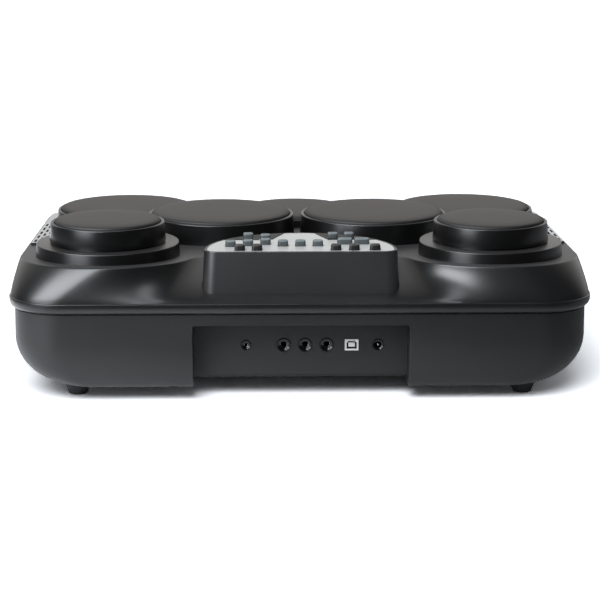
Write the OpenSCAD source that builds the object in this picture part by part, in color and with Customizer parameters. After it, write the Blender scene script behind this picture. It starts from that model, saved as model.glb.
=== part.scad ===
// Compact electronic drum kit: a table-top body with seven round pads, a raised
// control console, two speaker grilles and a recessed connector panel at the back.
// Millimetres. +Z is up, -Y faces the player, +Y is the connector side, and the
// origin is on the table under the middle of the body.

/* [Body] */
// Overall width of the body, at the lip
body_w = 550; // [520:1:600]
// Overall depth of the body, at the lip
body_d = 430; // [420:1:460]
// Height of the feet under the lower shell
foot_h = 14; // [8:1:25]
// Height of the lower shell
lower_h = 72; // [64:1:90]
// Height of the lip of the upper shell
lip_h = 11; // [6:1:16]
// Rise of the deck above the lip, at the back edge of the deck
deck_rise = 31; // [26:1:34]
// Fall of the deck from its back edge to its front edge
deck_fall = 18; // [14:1:22]
// Wall of both shells
wall = 3; // [2:0.5:4]
// Corner radius of the lip at the back
lip_r_rear = 52; // [46:1:64]
// Corner radius of the lip at the front
lip_r_front = 58; // [50:1:70]
// Inset of the deck from the lip at the sides
deck_inset_side = 6.5; // [5:0.5:9]
// Inset of the deck from the lip at the front
deck_inset_front = 16; // [10:1:18]
// Corner radius of the deck at the front
deck_r = 48; // [40:1:60]
// Radius of the deck's round lobes, about the rear pads
lobe_r = 84; // [80:1:86]
// Hollow radius between a lobe and the deck's edge under the console
lobe_fillet = 30; // [20:1:40]
// Distance of the deck's edge under the console from the lip
deck_inset_middle = 87; // [80:1:95]
// Tuck of the lip towards its lower edge
lip_tuck = 5.5; // [3:0.5:7]
// Inset of the lower shell under the lip
lower_inset = 5; // [4:0.5:9]
// Tuck of the lower shell's sides towards the bottom
tuck_side = 50; // [30:1:54]
// Tuck of the lower shell's back and front towards the bottom
tuck_end = 12; // [6:1:20]

/* [Pads] */
// Radius of the two rear pads
rear_pad_r = 51; // [46:0.5:52]
// Radius of the two middle pads and the two front pads
large_pad_r = 70.4; // [60:0.2:71]
// Radius of the front centre pad
centre_pad_r = 59; // [48:0.5:60]
// Rear pads, distance from the middle plane
rear_pad_x = 184.5; // [180:0.5:187]
// Rear pads, distance behind the centre
rear_pad_y = 117; // [112:1:122]
// Middle pads, distance from the middle plane
middle_pad_x = 78; // [76:1:82]
// Middle pads, distance behind the centre
middle_pad_y = -8; // [-14:1:6]
// Front pads, distance from the middle plane
front_pad_x = 180.5; // [178:0.5:184]
// Front pads, distance behind the centre
front_pad_y = -117; // [-120:1:-112]
// Centre pad, distance behind the centre
centre_pad_y = -125; // [-130:1:-121]
// Top of the rear pads above the table
rear_pad_top = 161; // [154:1:165]
// Top of the middle pads above the table
middle_pad_top = 146; // [138:1:150]
// Top of the front pads above the table
front_pad_top = 132; // [126:1:136]
// Height of the front centre pad's top
centre_pad_top = 128; // [122:1:132]
// Thickness of a pad's rubber
rubber_t = 6; // [5:0.5:7]
// Thickness of a pad's carrier plate
plate_t = 2; // [1.5:0.5:3]
// Thickness of the foam under a pad
foam_t = 7; // [5:0.5:9]
// Wall of a pad rim
rim_wall = 3.2; // [2.8:0.1:3.4]
// Travel of a pad on its foam
pad_travel = 1.2; // [0.8:0.1:1.6]
// Height of a pad above its rim
pad_proud = 3.8; // [3:0.1:4.2]
// Running gap around a pad
pad_gap = 0.4; // [0.3:0.1:0.6]
// Radius of the stepped collar under a rear pad
collar_r = 68.5; // [64:0.5:70]
// Height of the stepped collar above the deck
collar_h = 10; // [6:1:11]

/* [Console] */
// Half width of the console at its top
console_a = 90; // [80:1:94]
// Depth of the console at its top
console_b = 94; // [88:1:104]
// Corner radius at the back of the console
console_r = 12; // [8:1:16]
// Draft of the console's walls, over their height
console_draft = 2.4; // [0:0.2:4]
// Top of the console above the table
console_top = 143; // [139:1:150]
// Distance of the console's back edge from the lip
console_back = 15; // [13:1:20]
// Wall of the console
console_wall = 2.4; // [2:0.2:3.5]
// Thickness of the faceplate
faceplate_t = 2; // [1.6:0.2:3]

/* [Buttons] */
// Width of a small button
button_w = 10; // [8:0.5:11]
// Depth of a small button
button_d = 8.4; // [7:0.2:9]
// Width of a wide button
wide_button_w = 14.4; // [12:0.2:14.4]
// Height of a button above the faceplate
button_h = 5.6; // [3:0.2:7]
// Travel of a button
button_travel = 1.2; // [0.6:0.1:1.6]
// Running gap around a button
button_gap = 0.35; // [0.25:0.05:0.5]
// Distance between neighbouring button columns
button_pitch = 16.4; // [16.2:0.1:17]

/* [Connectors] */
// Width of the recess for the plugs
recess_w = 202; // [190:1:210]
// Depth of the recess behind the lower shell's wall
recess_d = 29; // [20:1:34]
// Height of the recess's ceiling below the lip
recess_drop = 11; // [8:1:14]
// Thickness of the connector panel
panel_t = 2.5; // [2:0.5:4]
// Height of the connectors' axes above the table
socket_z = 50; // [47:1:53]
// Bore radius of the three large sockets
socket_bore_r = 3.25; // [3.2:0.05:3.4]
// Collar radius of the three large sockets
socket_collar_r = 6.6; // [6:0.1:7]

/* [Speakers] */
// Outer radius of a speaker's frame
speaker_r = 40; // [34:1:41]
// Depth of a speaker
speaker_depth = 30; // [24:1:36]
// Thickness of a speaker grille
grille_t = 2.5; // [1.5:0.5:3]
// Radius of a hole in a grille
grille_hole_r = 1.1; // [0.9:0.1:1.6]
// Distance between neighbouring grille holes
grille_pitch = 4.6; // [4:0.2:6]
// Length of a slot in a grille
grille_slot_l = 17; // [12:0.5:20]

/* [Battery] */
// Radius of a cell
cell_r = 13; // [12:0.1:13.1]
// Length of a cell
cell_l = 49; // [48:0.5:50]
// Thickness of the battery door
door_t = 3; // [2:0.5:3.5]

/* [Fasteners] */
// Radius of a foot at its top
foot_r_top = 14; // [10:0.5:15]
// Radius of a foot at the table
foot_r_bottom = 9; // [7:0.5:10]
// Shank radius of a case screw
screw_r = 1.5; // [1.2:0.1:1.8]
// Head radius of a case screw
screw_head_r = 3.5; // [3:0.1:4]

/* [Hidden] */
$fn = 64;

// Small clearance between pieces that are fitted together
fit = 0.25;
// Overshoot of a cut past a face
over = 1;

// Heights
lower_top = foot_h + lower_h;
lip_top = lower_top + lip_h;
deck_rear_y = rear_pad_y + lobe_r;
deck_front_y = -body_d/2 + deck_inset_front;
deck_rear_z = lip_top + deck_rise;
deck_tilt = atan(deck_fall/(deck_rear_y - deck_front_y));
floor_z = foot_h + wall;

function deck_z(y) = deck_rear_z - (deck_rear_y - y)*tan(deck_tilt);

// Shells: a ring is a closed outline, and a skin joins rings of equal length
ring_n = 9;

// Points of an arc about a centre, both ends included
function arc(centre, r, from, to, n) = [
    for (i = [0:n])
        let (t = from + (to - from)*i/n) [centre[0] + r*cos(t), centre[1] + r*sin(t)]];

// Outline from its right back half: the half, a middle point, its mirror, and two front corners
function closed(half, middle_y, hw, yf, rf) = concat(
    half, [[0, middle_y]],
    [for (i = [len(half) - 1:-1:0]) [-half[i][0], half[i][1]]],
    arc([-hw + rf, yf + rf], rf, 180, 270, ring_n),
    arc([hw - rf, yf + rf], rf, 270, 360, ring_n));

// A rounded rectangle
function ring(hw, yr, yf, rr, rf) =
    closed(arc([hw - rr, yr - rr], rr, 0, 90, ring_n), yr, hw, yf, rf);

function raised(outline, z) = [for (p = outline) [p[0], p[1], z]];

// A point of a flat ring that every other point of it is in sight of
function hub(r) =
    let (front = len(r) - ring_n - 2, middle = (len(r) - 1)/2 - ring_n - 1)
    0.25*r[middle] + 0.375*(r[front] + r[front + 1]);

module skin(rings) {
    n = len(rings[0]);
    last = len(rings) - 1;
    hubs = n*len(rings);
    sides = [for (k = [0:last - 1], i = [0:n - 1])
        let (a = k*n + i, b = k*n + (i + 1) % n)
        each [[a, b + n, b], [a, a + n, b + n]]];
    bottom = [for (i = [0:n - 1]) [hubs, i, (i + 1) % n]];
    top = [for (i = [0:n - 1]) [hubs + 1, last*n + (i + 1) % n, last*n + i]];
    polyhedron(concat([for (r = rings) each r], [hub(rings[0]), hub(rings[last])]),
               concat(sides, bottom, top), convexity = 6);
}

// Upper shell: the lip, a step and a convex shoulder that climbs to the sloping deck
lip_step = 1.2;
lip_full = 3;
shoulder_bend = 1.25;
shoulder_levels = 6;
lobe_n = 6;
valley_y = body_d/2 - deck_inset_middle;

// Edge of the deck from the back of a lobe, round it and through the hollow to the valley
function lobe_edge(inset) =
    let (r = lobe_r - inset, f = lobe_fillet + inset, y = valley_y - inset + f,
         run = sqrt(pow(r + f, 2) - pow(y - rear_pad_y, 2)),
         turn = atan2(y - rear_pad_y, run))
    concat(
        arc([rear_pad_x, rear_pad_y], r, 90 + (90 - turn)/lobe_n, 180 - turn, lobe_n - 1),
        arc([rear_pad_x - run, y], f, -turn - (90 - turn)/lobe_n, -90, lobe_n - 1));

// Outline of the deck, drawn in by an inset
function deck_outline(inset) = closed(
    concat(arc([rear_pad_x, rear_pad_y], lobe_r - inset, 0, 90, ring_n), lobe_edge(inset)),
    valley_y - inset, body_w/2 - deck_inset_side - inset, deck_front_y + inset, deck_r - inset);

// Outline of the lip, with points along its back that answer to the lobes
function lip_outline(inset) =
    let (hw = body_w/2 - inset, yr = body_d/2 - inset, r = lip_r_rear - inset)
    closed(
        concat(arc([hw - r, yr - r], r, 0, 90, ring_n),
               [for (p = lobe_edge(0)) [p[0]*(hw - r)/rear_pad_x, yr]]),
        yr, hw, -yr, lip_r_front - inset);

function lip_ring(inset, z) = raised(lip_outline(inset), z);

// One ring of the shoulder at share u of its climb, drawn in and lowered by a skin thickness
function shoulder_ring(u, thick) =
    let (low = lip_outline(lip_step + thick),
         high = deck_outline(thick),
         s = pow(u, shoulder_bend),
         drop = thick/cos(deck_tilt))
    [for (i = [0:len(low) - 1])
        let (x = low[i][0] + (high[i][0] - low[i][0])*s,
             y = low[i][1] + (high[i][1] - low[i][1])*s)
        [x, y, lip_top + (deck_z(y) - drop - lip_top)*u]];

module upper_outside() {
    skin(concat(
        [lip_ring(lip_tuck, lower_top),
         lip_ring(lip_tuck*0.2, lower_top + lip_h*0.4),
         lip_ring(0, lip_top - lip_full),
         lip_ring(0, lip_top - lip_step/2),
         lip_ring(lip_step, lip_top)],
        [for (k = [1:shoulder_levels]) shoulder_ring(k/shoulder_levels, 0)]));
}

module upper_inside() {
    skin(concat(
        [lip_ring(lip_tuck + wall, lower_top - over)],
        [for (k = [0:2:shoulder_levels]) shoulder_ring(k/shoulder_levels, wall)]));
}

// Everything under the plane of the deck
module below_deck() {
    translate([0, deck_rear_y, deck_rear_z])
        rotate([deck_tilt, 0, 0])
            translate([-body_w, -body_d*2, -body_w])
                cube([body_w*2, body_d*3, body_w]);
}

// Places a child on the deck, with its own Z square to the deck
module on_deck(x, y) {
    translate([x, y, deck_z(y)]) rotate([deck_tilt, 0, 0]) children();
}

// Pads: [x, y, radius, top, seated on a collar]
pads = [
    [-rear_pad_x, rear_pad_y, rear_pad_r, rear_pad_top, true],
    [rear_pad_x, rear_pad_y, rear_pad_r, rear_pad_top, true],
    [-middle_pad_x, middle_pad_y, large_pad_r, middle_pad_top, false],
    [middle_pad_x, middle_pad_y, large_pad_r, middle_pad_top, false],
    [-front_pad_x, front_pad_y, large_pad_r, front_pad_top, false],
    [front_pad_x, front_pad_y, large_pad_r, front_pad_top, false],
    [0, centre_pad_y, centre_pad_r, centre_pad_top, false]];

rubber_edge_r = 3;
plate_inset = 6;
piezo_r = 13.5;
piezo_t = 0.6;
foam_inset = 8;
foam_w = 9;
rim_shelf_t = 3;
stop_gap = 0.4;
groove_h = 1.6;
groove_d = 1.6;
rim_step = 6.4;
bucket_gap = 0.5;
collar_seat = 14;

function rim_r(p) = p[2] + pad_gap + rim_wall;
function rim_top(p) = p[3] - pad_proud;
function plate_bottom(p) = p[3] - rubber_t - plate_t;
function shelf_top(p) = plate_bottom(p) - foam_t;
function bucket_r(p) = rim_r(p) - rim_step - bucket_gap;
function collar_top(p) = deck_z(p[1] + collar_r) + collar_h;
function rubber_seat(p) = p[3] - rubber_t - pad_travel - stop_gap;

module pad_rubber(p) {
    color("#3a3735")
        translate([p[0], p[1], p[3] - rubber_t]) rotate_extrude() {
            square([p[2] - rubber_edge_r, rubber_t]);
            square([p[2], rubber_t - rubber_edge_r]);
            translate([p[2] - rubber_edge_r, rubber_t - rubber_edge_r]) circle(rubber_edge_r);
        }
}

module pad_plate(p) {
    color("silver") {
        translate([p[0], p[1], plate_bottom(p)])
            cylinder(r = p[2] - plate_inset, h = plate_t);
        translate([p[0], p[1], plate_bottom(p) - piezo_t])
            cylinder(r = piezo_r, h = piezo_t);
    }
}

module pad_foam(p) {
    color("#555555")
        translate([p[0], p[1], shelf_top(p)])
            difference() {
                cylinder(r = p[2] - foam_inset, h = foam_t);
                translate([0, 0, -over])
                    cylinder(r = p[2] - foam_inset - foam_w, h = foam_t + 2*over);
            }
}

// A rim: an outer wall that stands on the deck or on a collar, a seat for the pad's edge, and a
// bucket with a shelf for the foam. A rim on a collar has a groove round its foot.
module pad_rim(p) {
    shelf_low = shelf_top(p) - rim_shelf_t;
    low = p[4] ? collar_top(p) : shelf_low;
    seat = p[4] ? collar_top(p) : deck_z(p[1] - rim_r(p)) - over;
    color("#1b1c1e")
        difference() {
            union() {
                difference() {
                    translate([p[0], p[1], seat]) cylinder(r = rim_r(p), h = rim_top(p) - seat);
                    below_deck();
                    if (p[4]) translate([p[0], p[1], seat - over])
                        difference() {
                            cylinder(r = rim_r(p) + over, h = groove_h + over);
                            cylinder(r = rim_r(p) - groove_d, h = groove_h + over);
                        }
                }
                translate([p[0], p[1], low]) cylinder(r = bucket_r(p), h = rubber_seat(p) - low);
            }
            translate([p[0], p[1], rubber_seat(p)]) cylinder(r = p[2] + pad_gap, h = p[3]);
            translate([p[0], p[1], plate_bottom(p) - pad_travel - stop_gap])
                cylinder(r = p[2] - plate_inset + pad_gap, h = p[3]);
            translate([p[0], p[1], shelf_top(p)]) cylinder(r = p[2] - foam_inset + fit, h = p[3]);
            translate([p[0], p[1], 0]) cylinder(r = p[2] - foam_inset - foam_w, h = p[3]);
        }
}

// Stepped collar under a rear pad, open in the middle
module pad_collar(p) {
    color("#1b1c1e")
        difference() {
            translate([p[0], p[1], deck_z(p[1] - collar_r) - over])
                cylinder(r = collar_r, h = collar_top(p) - deck_z(p[1] - collar_r) + over);
            below_deck();
            translate([p[0], p[1], 0]) cylinder(r = rim_r(p) - collar_seat, h = p[3]);
        }
}

// Console: a D-shaped pod, its straight edge at the back
console_y = body_d/2 - console_back;
console_foot_z = lip_top + wall;
console_h = console_top - console_foot_z;
d_arc_n = 6;
d_curve_n = 16;
ledge_w = 5;

// Half outline of the pod, then its mirror: x, and distance from the back edge as -y
function d_half(grow) = concat(
    [for (i = [0:d_arc_n])
        let (t = -90 + 90*i/d_arc_n)
        [console_a - console_r + (console_r + grow)*cos(t), -console_r - (console_r + grow)*sin(t)]],
    [for (i = [1:d_curve_n])
        let (t = 90*i/d_curve_n)
        [(console_a + grow)*cos(t), -console_r - (console_b - console_r + grow)*sin(t)]]);

function d_outline(grow) =
    let (half = d_half(grow))
    concat(half, [for (i = [len(half) - 2:-1:0]) [-half[i][0], half[i][1]]]);

module d_slab(grow, z, h) {
    translate([0, console_y, z]) linear_extrude(h) polygon(d_outline(grow));
}

// The pod's drafted outside, grown by a clearance
module console_outside(grow) {
    skin_t = 0.1;
    hull() {
        d_slab(console_draft + grow, console_foot_z, skin_t);
        d_slab(grow, console_top - skin_t, skin_t);
    }
}

// Stack under the faceplate, from the top down: button flanges, mat, board, ledge
faceplate_z = console_top - faceplate_t;
flange_t = 1.6;
flange_gap = 0.2;
flange_w = 0.7;
flange_z = faceplate_z - flange_gap - flange_t;
dome_h = 3;
mat_t = 1.5;
mat_z = flange_z - dome_h - mat_t;
board_t = 1.6;
board_z = mat_z - board_t;

module console_housing() {
    color("#202124")
        difference() {
            console_outside(0);
            d_slab(-console_wall, board_z, console_top);
            d_slab(-console_wall - ledge_w, 0, console_top);
        }
}

// Buttons: [column in pitches from the middle, distance from the back edge]
black_buttons = [[3.46, 9], [2.48, 9], [-2, 9], [-3.04, 9], [-4.22, 9]];
grey_buttons = [
    [4, 28], [3, 31.5], [2, 37], [1, 29.5], [0, 29.5], [-1, 29.5],
    [3, 65], [2, 59], [-1.92, 66], [-2.86, 67]];
wide_buttons = [[-2.56, 38], [-3.54, 38]];
button_r = 2.4;
stem_r = 3;

function button_x(b) = b[0]*button_pitch;
function button_y(b) = console_y - b[1];

module round_rect(w, d, r) {
    square([w - 2*r, d], center = true);
    square([w, d - 2*r], center = true);
    for (x = [-1, 1], y = [-1, 1])
        translate([x*(w/2 - r), y*(d/2 - r)]) circle(r);
}

module button_shape(b, w, grow) {
    translate([button_x(b), button_y(b)])
        round_rect(w + 2*grow, button_d + 2*grow, button_r + grow);
}

module button(b, w, tint) {
    color(tint) {
        translate([0, 0, flange_z]) linear_extrude(faceplate_t + flange_gap + flange_t + button_h)
            button_shape(b, w, 0);
        translate([0, 0, flange_z]) linear_extrude(flange_t) button_shape(b, w, flange_w);
    }
}

module all_button_shapes(grow) {
    for (b = black_buttons) button_shape(b, button_w, grow);
    for (b = grey_buttons) button_shape(b, button_w, grow);
    for (b = wide_buttons) button_shape(b, wide_button_w, grow);
}

module console_faceplate() {
    color("#d9d8d4")
        translate([0, 0, faceplate_z]) linear_extrude(faceplate_t)
            difference() {
                translate([0, console_y]) polygon(d_outline(-console_wall - fit));
                all_button_shapes(button_gap);
            }
}

// Two dark wings laid on the faceplate along the curved front edge, apart at the middle
inlay_t = 0.4;
inlay_back = 57;
inlay_far = 13;
inlay_near = 27;
inlay_gap = 0.5;

module faceplate_inlays() {
    color("#141415")
        translate([0, 0, console_top]) linear_extrude(inlay_t)
            difference() {
                translate([0, console_y]) polygon(d_outline(-console_wall - fit));
                translate([0, console_y]) polygon([
                    [-console_a, over], [console_a, over], [console_a, -inlay_back],
                    [inlay_near, -inlay_back], [inlay_far, -console_b], [-inlay_far, -console_b],
                    [-inlay_near, -inlay_back], [-console_a, -inlay_back]]);
                all_button_shapes(button_gap + inlay_gap);
            }
}

module keypad_mat() {
    color("#8d9092") {
        translate([0, 0, mat_z]) linear_extrude(mat_t)
            translate([0, console_y]) polygon(d_outline(-console_wall - 2*fit));
        for (b = concat(black_buttons, grey_buttons, wide_buttons))
            translate([button_x(b), button_y(b), mat_z]) cylinder(r = stem_r, h = mat_t + dome_h);
    }
}

module console_board() {
    color("#2f5d3a")
        translate([0, 0, board_z]) linear_extrude(board_t)
            translate([0, console_y]) polygon(d_outline(-console_wall - fit));
}

// Speakers and grilles: [x, y] in the deck
speaker_y = (rear_pad_y + front_pad_y)/2;
speaker_x = body_w/2 - deck_inset_side - 68.5;
grille_edge = 3;
grille_clear = 2.5;
grille_rear_y = rear_pad_y - 61;
grille_front_y = front_pad_y + 36;
grille_inner_x = speaker_x - 76;
grille_tail_x = front_pad_x + 50;
grille_border = 3;
speaker_opening = speaker_r - 5;
frame_t = 2.5;
magnet_r = 21;
magnet_h = 12;
cone_r = 12;

// True where a point of a slot lies inside the grille's border
function in_grille(x, y) =
    x > grille_inner_x + grille_border
    && x < body_w/2 - deck_inset_side - grille_edge - grille_border
    && y < grille_rear_y - grille_border
    && y > grille_front_y + grille_border
    && norm([x - rear_pad_x, y - rear_pad_y]) > collar_r + grille_clear + grille_border
    && norm([x - middle_pad_x, y - middle_pad_y]) > rim_r(pads[2]) + grille_clear + grille_border
    && norm([x - front_pad_x, y - front_pad_y]) > rim_r(pads[4]) + grille_clear + grille_border;

slot_reach = grille_slot_l/2 - grille_hole_r;
slot_row = grille_slot_l + 11;
grille_rows = ceil(body_d/slot_row/2);
grille_slots = [
    for (i = [0:floor(body_w/grille_pitch/2)], j = [-grille_rows:grille_rows])
        let (x = i*grille_pitch, y = (j + (i % 2 == 0 ? 0 : 0.5))*slot_row)
        if (in_grille(x, y - slot_reach) && in_grille(x, y) && in_grille(x, y + slot_reach)) [x, y]];

module grille_slot() {
    square([2*grille_hole_r, 2*slot_reach], center = true);
    for (end = [-1, 1]) translate([0, end*slot_reach]) circle(grille_hole_r, $fn = 16);
}

module grille_shape() {
    difference() {
        intersection() {
            polygon(deck_outline(grille_edge));
            union() {
                translate([grille_inner_x, grille_front_y])
                    square([body_w/2 - grille_inner_x, grille_rear_y - grille_front_y]);
                translate([grille_tail_x, -body_d/2])
                    square([body_w/2 - grille_tail_x, body_d/2]);
            }
        }
        translate([rear_pad_x, rear_pad_y]) circle(collar_r + grille_clear);
        translate([middle_pad_x, middle_pad_y]) circle(rim_r(pads[2]) + grille_clear);
        translate([front_pad_x, front_pad_y]) circle(rim_r(pads[4]) + grille_clear);
        for (h = grille_slots) translate(h) grille_slot();
    }
}

module speaker_grille(side) {
    color("#d4d4d1")
        on_deck(0, 0) linear_extrude(grille_t)
            mirror([side < 0 ? 1 : 0, 0, 0]) grille_shape();
}

module speaker(side) {
    color("#2b2b2d")
        on_deck(side*speaker_x, speaker_y)
            translate([0, 0, -wall])
                mirror([0, 0, 1]) {
                    difference() {
                        union() {
                            cylinder(r = speaker_r, h = frame_t);
                            cylinder(r1 = speaker_r - 3, r2 = magnet_r, h = speaker_depth - magnet_h);
                            cylinder(r = magnet_r, h = speaker_depth);
                        }
                        translate([0, 0, -over])
                            cylinder(r1 = speaker_r - 7, r2 = cone_r, h = speaker_depth - magnet_h - 2 + over);
                    }
                }
}

// Lower shell: a tub whose sides tuck in to a flat bottom
lower_levels = 7;
lower_corner_bottom = 30;
tub_share = 0.6;

// Inset at share u of the tub's height: 1 at the bottom, 0 from tub_share up
function tuck(u) = u >= tub_share ? 0 : 1 - sqrt(1 - pow(1 - u/tub_share, 2));

function lower_corner(top, s) = top - lower_inset + (lower_corner_bottom - top + lower_inset)*s;

function lower_ring(u, thick) =
    let (s = tuck(u), e = lower_inset + thick)
    raised(ring(body_w/2 - e - tuck_side*s, body_d/2 - e - tuck_end*s,
                -body_d/2 + e + tuck_end*s,
                lower_corner(lip_r_rear, s) - thick, lower_corner(lip_r_front, s) - thick),
           foot_h + thick + (lower_h - thick)*u);

// Levels are closer together where the tuck turns under
function lower_level(k) = tub_share*(1 - cos(90*k/lower_levels));

module lower_solid(thick, lift) {
    rings = [for (k = [0:lower_levels]) lower_ring(lower_level(k), thick)];
    skin(concat(rings, [lower_ring(1 + lift, thick)]));
}

recess_top = lower_top - recess_drop;
recess_back_y = body_d/2 - lower_inset - recess_d;
flange_in = 6;
panel_low = foot_h + 8;
undercut_y = recess_back_y - 26;
panel_gap = 0.2;

// Battery pocket, with the door's recess under it
cell_rows = 2;
cell_count = 3;
contact_t = 0.6;
contact_nub = 2;
pocket_y = -60;
pocket_w = cell_count*cell_l + 2*(contact_t + contact_nub) + 1;
pocket_d = cell_rows*(2*cell_r + 1) + 2;
pocket_h = 2*cell_r + 2;
door_rest = 4;
door_z = foot_h;
pocket_z = door_z + door_t;
door_gap = 0.3;

module block_at(w, d, y, z, h) {
    translate([-w/2, y - d/2, z]) cube([w, d, h]);
}

// Posts for the screws, bosses for the feet, standoffs for the main board
screw_posts = [[130, 168], [205, 50], [95, -180]];
foot_x = 212;
foot_y = 166;
post_r = 5.5;
head_depth = 6;
head_h = 2.4;
head_gap = 0.4;
pilot_gap = 0.05;
screw_bite = 12;
post_floor = 5;
foot_pocket = 2;
foot_boss_r = 16;
foot_boss_h = 3;
main_board_t = 1.6;
main_board_w = 176;
main_board_d = 62;
main_board_z = socket_z - 8 - main_board_t;
main_board_y = recess_back_y - wall - main_board_d/2 - 1;
standoff_r = 3;
standoff_in = 6;

// Small round notches in the lower shell's bottom edge, beside the recess
notch_x = 120;
notch_r = 9;
notch_h = 1.5;
notch_d = 40;

module at_screws() {
    for (p = screw_posts, side = [-1, 1]) translate([side*p[0], p[1], 0]) children();
}

module at_feet() {
    for (x = [-1, 1], y = [-1, 1]) translate([x*foot_x, y*foot_y, 0]) children();
}

module lower_shell() {
    color("#2a2b2d")
        difference() {
            lower_solid(0, 0);
            difference() {
                lower_solid(wall, over/lower_h);
                block_at(recess_w + 2*wall, 2*(body_d/2 - recess_back_y + wall), body_d/2, 0, recess_top + wall);
                block_at(recess_w + 2*wall, 2*(body_d/2 - undercut_y + wall), body_d/2, 0, panel_low);
                block_at(pocket_w + 2*wall, pocket_d + 2*wall, pocket_y, 0, pocket_z + pocket_h + wall);
                block_at(pocket_w + 2*door_rest + 2*wall, pocket_d + 2*door_rest + 2*wall,
                         pocket_y, 0, door_z + door_t + wall);
                at_screws() cylinder(r = post_r, h = lower_top);
                at_feet() cylinder(r = foot_boss_r, h = floor_z + foot_boss_h);
                for (x = [-1, 1], y = [-1, 1])
                    translate([x*(main_board_w/2 - standoff_in), main_board_y + y*(main_board_d/2 - standoff_in), 0])
                        cylinder(r = standoff_r, h = main_board_z);
            }
            block_at(recess_w, 2*(body_d/2 - recess_back_y), body_d/2, 0, recess_top);
            block_at(recess_w, 2*(body_d/2 - undercut_y), body_d/2, 0, panel_low - wall);
            block_at(recess_w - 2*flange_in, 2*(body_d/2 - recess_back_y + 2*wall), body_d/2,
                     panel_low + flange_in, recess_top - panel_low - 2*flange_in);
            block_at(pocket_w, pocket_d, pocket_y, 0, pocket_z + pocket_h);
            block_at(pocket_w + 2*door_rest, pocket_d + 2*door_rest, pocket_y, 0, door_z + door_t);
            at_screws() {
                cylinder(r = screw_r + fit, h = lower_top + over);
                cylinder(r = screw_head_r + head_gap, h = foot_h + head_depth);
            }
            at_feet() cylinder(r = foot_r_top + fit, h = foot_h + foot_pocket);
            for (side = [-1, 1])
                translate([side*notch_x, body_d/2 - notch_d, foot_h - notch_r + notch_h])
                    rotate([-90, 0, 0]) cylinder(r = notch_r, h = notch_d);
        }
}

// Bosses hang from the deck over the lower shell's posts
module upper_shell() {
    color("#1f2022")
        difference() {
            upper_outside();
            difference() {
                upper_inside();
                at_screws() translate([0, 0, lower_top]) cylinder(r = post_r, h = deck_rise + lip_h);
            }
            at_screws() translate([0, 0, lower_top - over]) cylinder(r = screw_r + pilot_gap, h = screw_bite + 2*over);
            for (p = pads)
                translate([p[0], p[1], lower_top])
                    cylinder(r = rim_r(p) - rim_step, h = p[3]);
            console_outside(fit);
            for (side = [-1, 1])
                on_deck(side*speaker_x, speaker_y)
                    translate([0, 0, -wall - over]) cylinder(r = speaker_opening, h = wall + 2*over);
        }
}

// Connector panel at the back of the recess. Sockets: distance from the middle plane.
panel_h = recess_top - panel_low - panel_gap;
large_sockets = [15.9, -4.2, -24.4];
small_socket_x = 51.4;
usb_x = -48.1;
power_x = -73.1;
small_socket_r = 4.8;
small_bore_r = 1.8;
power_r = 5.6;
power_bore_r = 3.1;
power_pin_r = 1;
usb_w = 13;
usb_h = 10.8;
socket_body_d = 24;
socket_body_w = 15.6;
collar_proud = 0.8;
socket_depth = 22;

module square_cut(x, w, h, extra) {
    translate([x - w/2, recess_back_y - extra, socket_z - h/2]) cube([w, panel_t + 2*extra, h]);
}

// Places a child at a socket, with its Z pointing out of the panel's back face
module at_socket(x) {
    translate([x, recess_back_y, socket_z]) rotate([-90, 0, 0]) children();
}

module jack_panel() {
    color("#232325")
        difference() {
            block_at(recess_w - 2*panel_gap, panel_t, recess_back_y + panel_t/2, panel_low, panel_h);
            for (x = large_sockets) at_socket(x) translate([0, 0, -over]) cylinder(r = socket_collar_r + fit, h = panel_t + 2*over);
            at_socket(small_socket_x) translate([0, 0, -over]) cylinder(r = small_socket_r + fit, h = panel_t + 2*over);
            at_socket(power_x) translate([0, 0, -over]) cylinder(r = power_r + fit, h = panel_t + 2*over);
            square_cut(usb_x, usb_w + 2*fit, usb_h + 2*fit, over);
        }
}

// A socket stands on the main board: a block, a round collar through the panel, and a bore
module socket(x, body_w, body_d, collar, bore, depth) {
    back = fit;
    low = main_board_z + main_board_t - socket_z;
    difference() {
        union() {
            translate([x - body_w/2, recess_back_y - back - body_d, socket_z + low]) cube([body_w, body_d, -2*low]);
            at_socket(x) translate([0, 0, -back - over]) cylinder(r = collar, h = panel_t + collar_proud + back + over);
        }
        at_socket(x) translate([0, 0, panel_t + collar_proud - depth]) cylinder(r = bore, h = depth + over);
    }
}

module quarter_inch_sockets() {
    color("#0f0f10")
        for (x = large_sockets) socket(x, socket_body_w, socket_body_d, socket_collar_r, socket_bore_r, socket_depth);
}

module aux_socket() {
    color("#0f0f10")
        socket(small_socket_x, 2*small_socket_r + 1, 14, small_socket_r, small_bore_r, 14);
}

module power_socket() {
    color("#0f0f10") {
        socket(power_x, 2*power_r + 1, 14, power_r, power_bore_r, 10);
        at_socket(power_x) translate([0, 0, panel_t + collar_proud - 10.5]) cylinder(r = power_pin_r, h = 9.5);
    }
}

// USB socket: a shell with a D-shaped hollow and a tongue in it
usb_depth = 16;
usb_wall = 1.7;
usb_tongue_w = 6.2;
usb_tongue_h = 4;
usb_cavity_d = 9;
usb_chamfer = 2;

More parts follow.
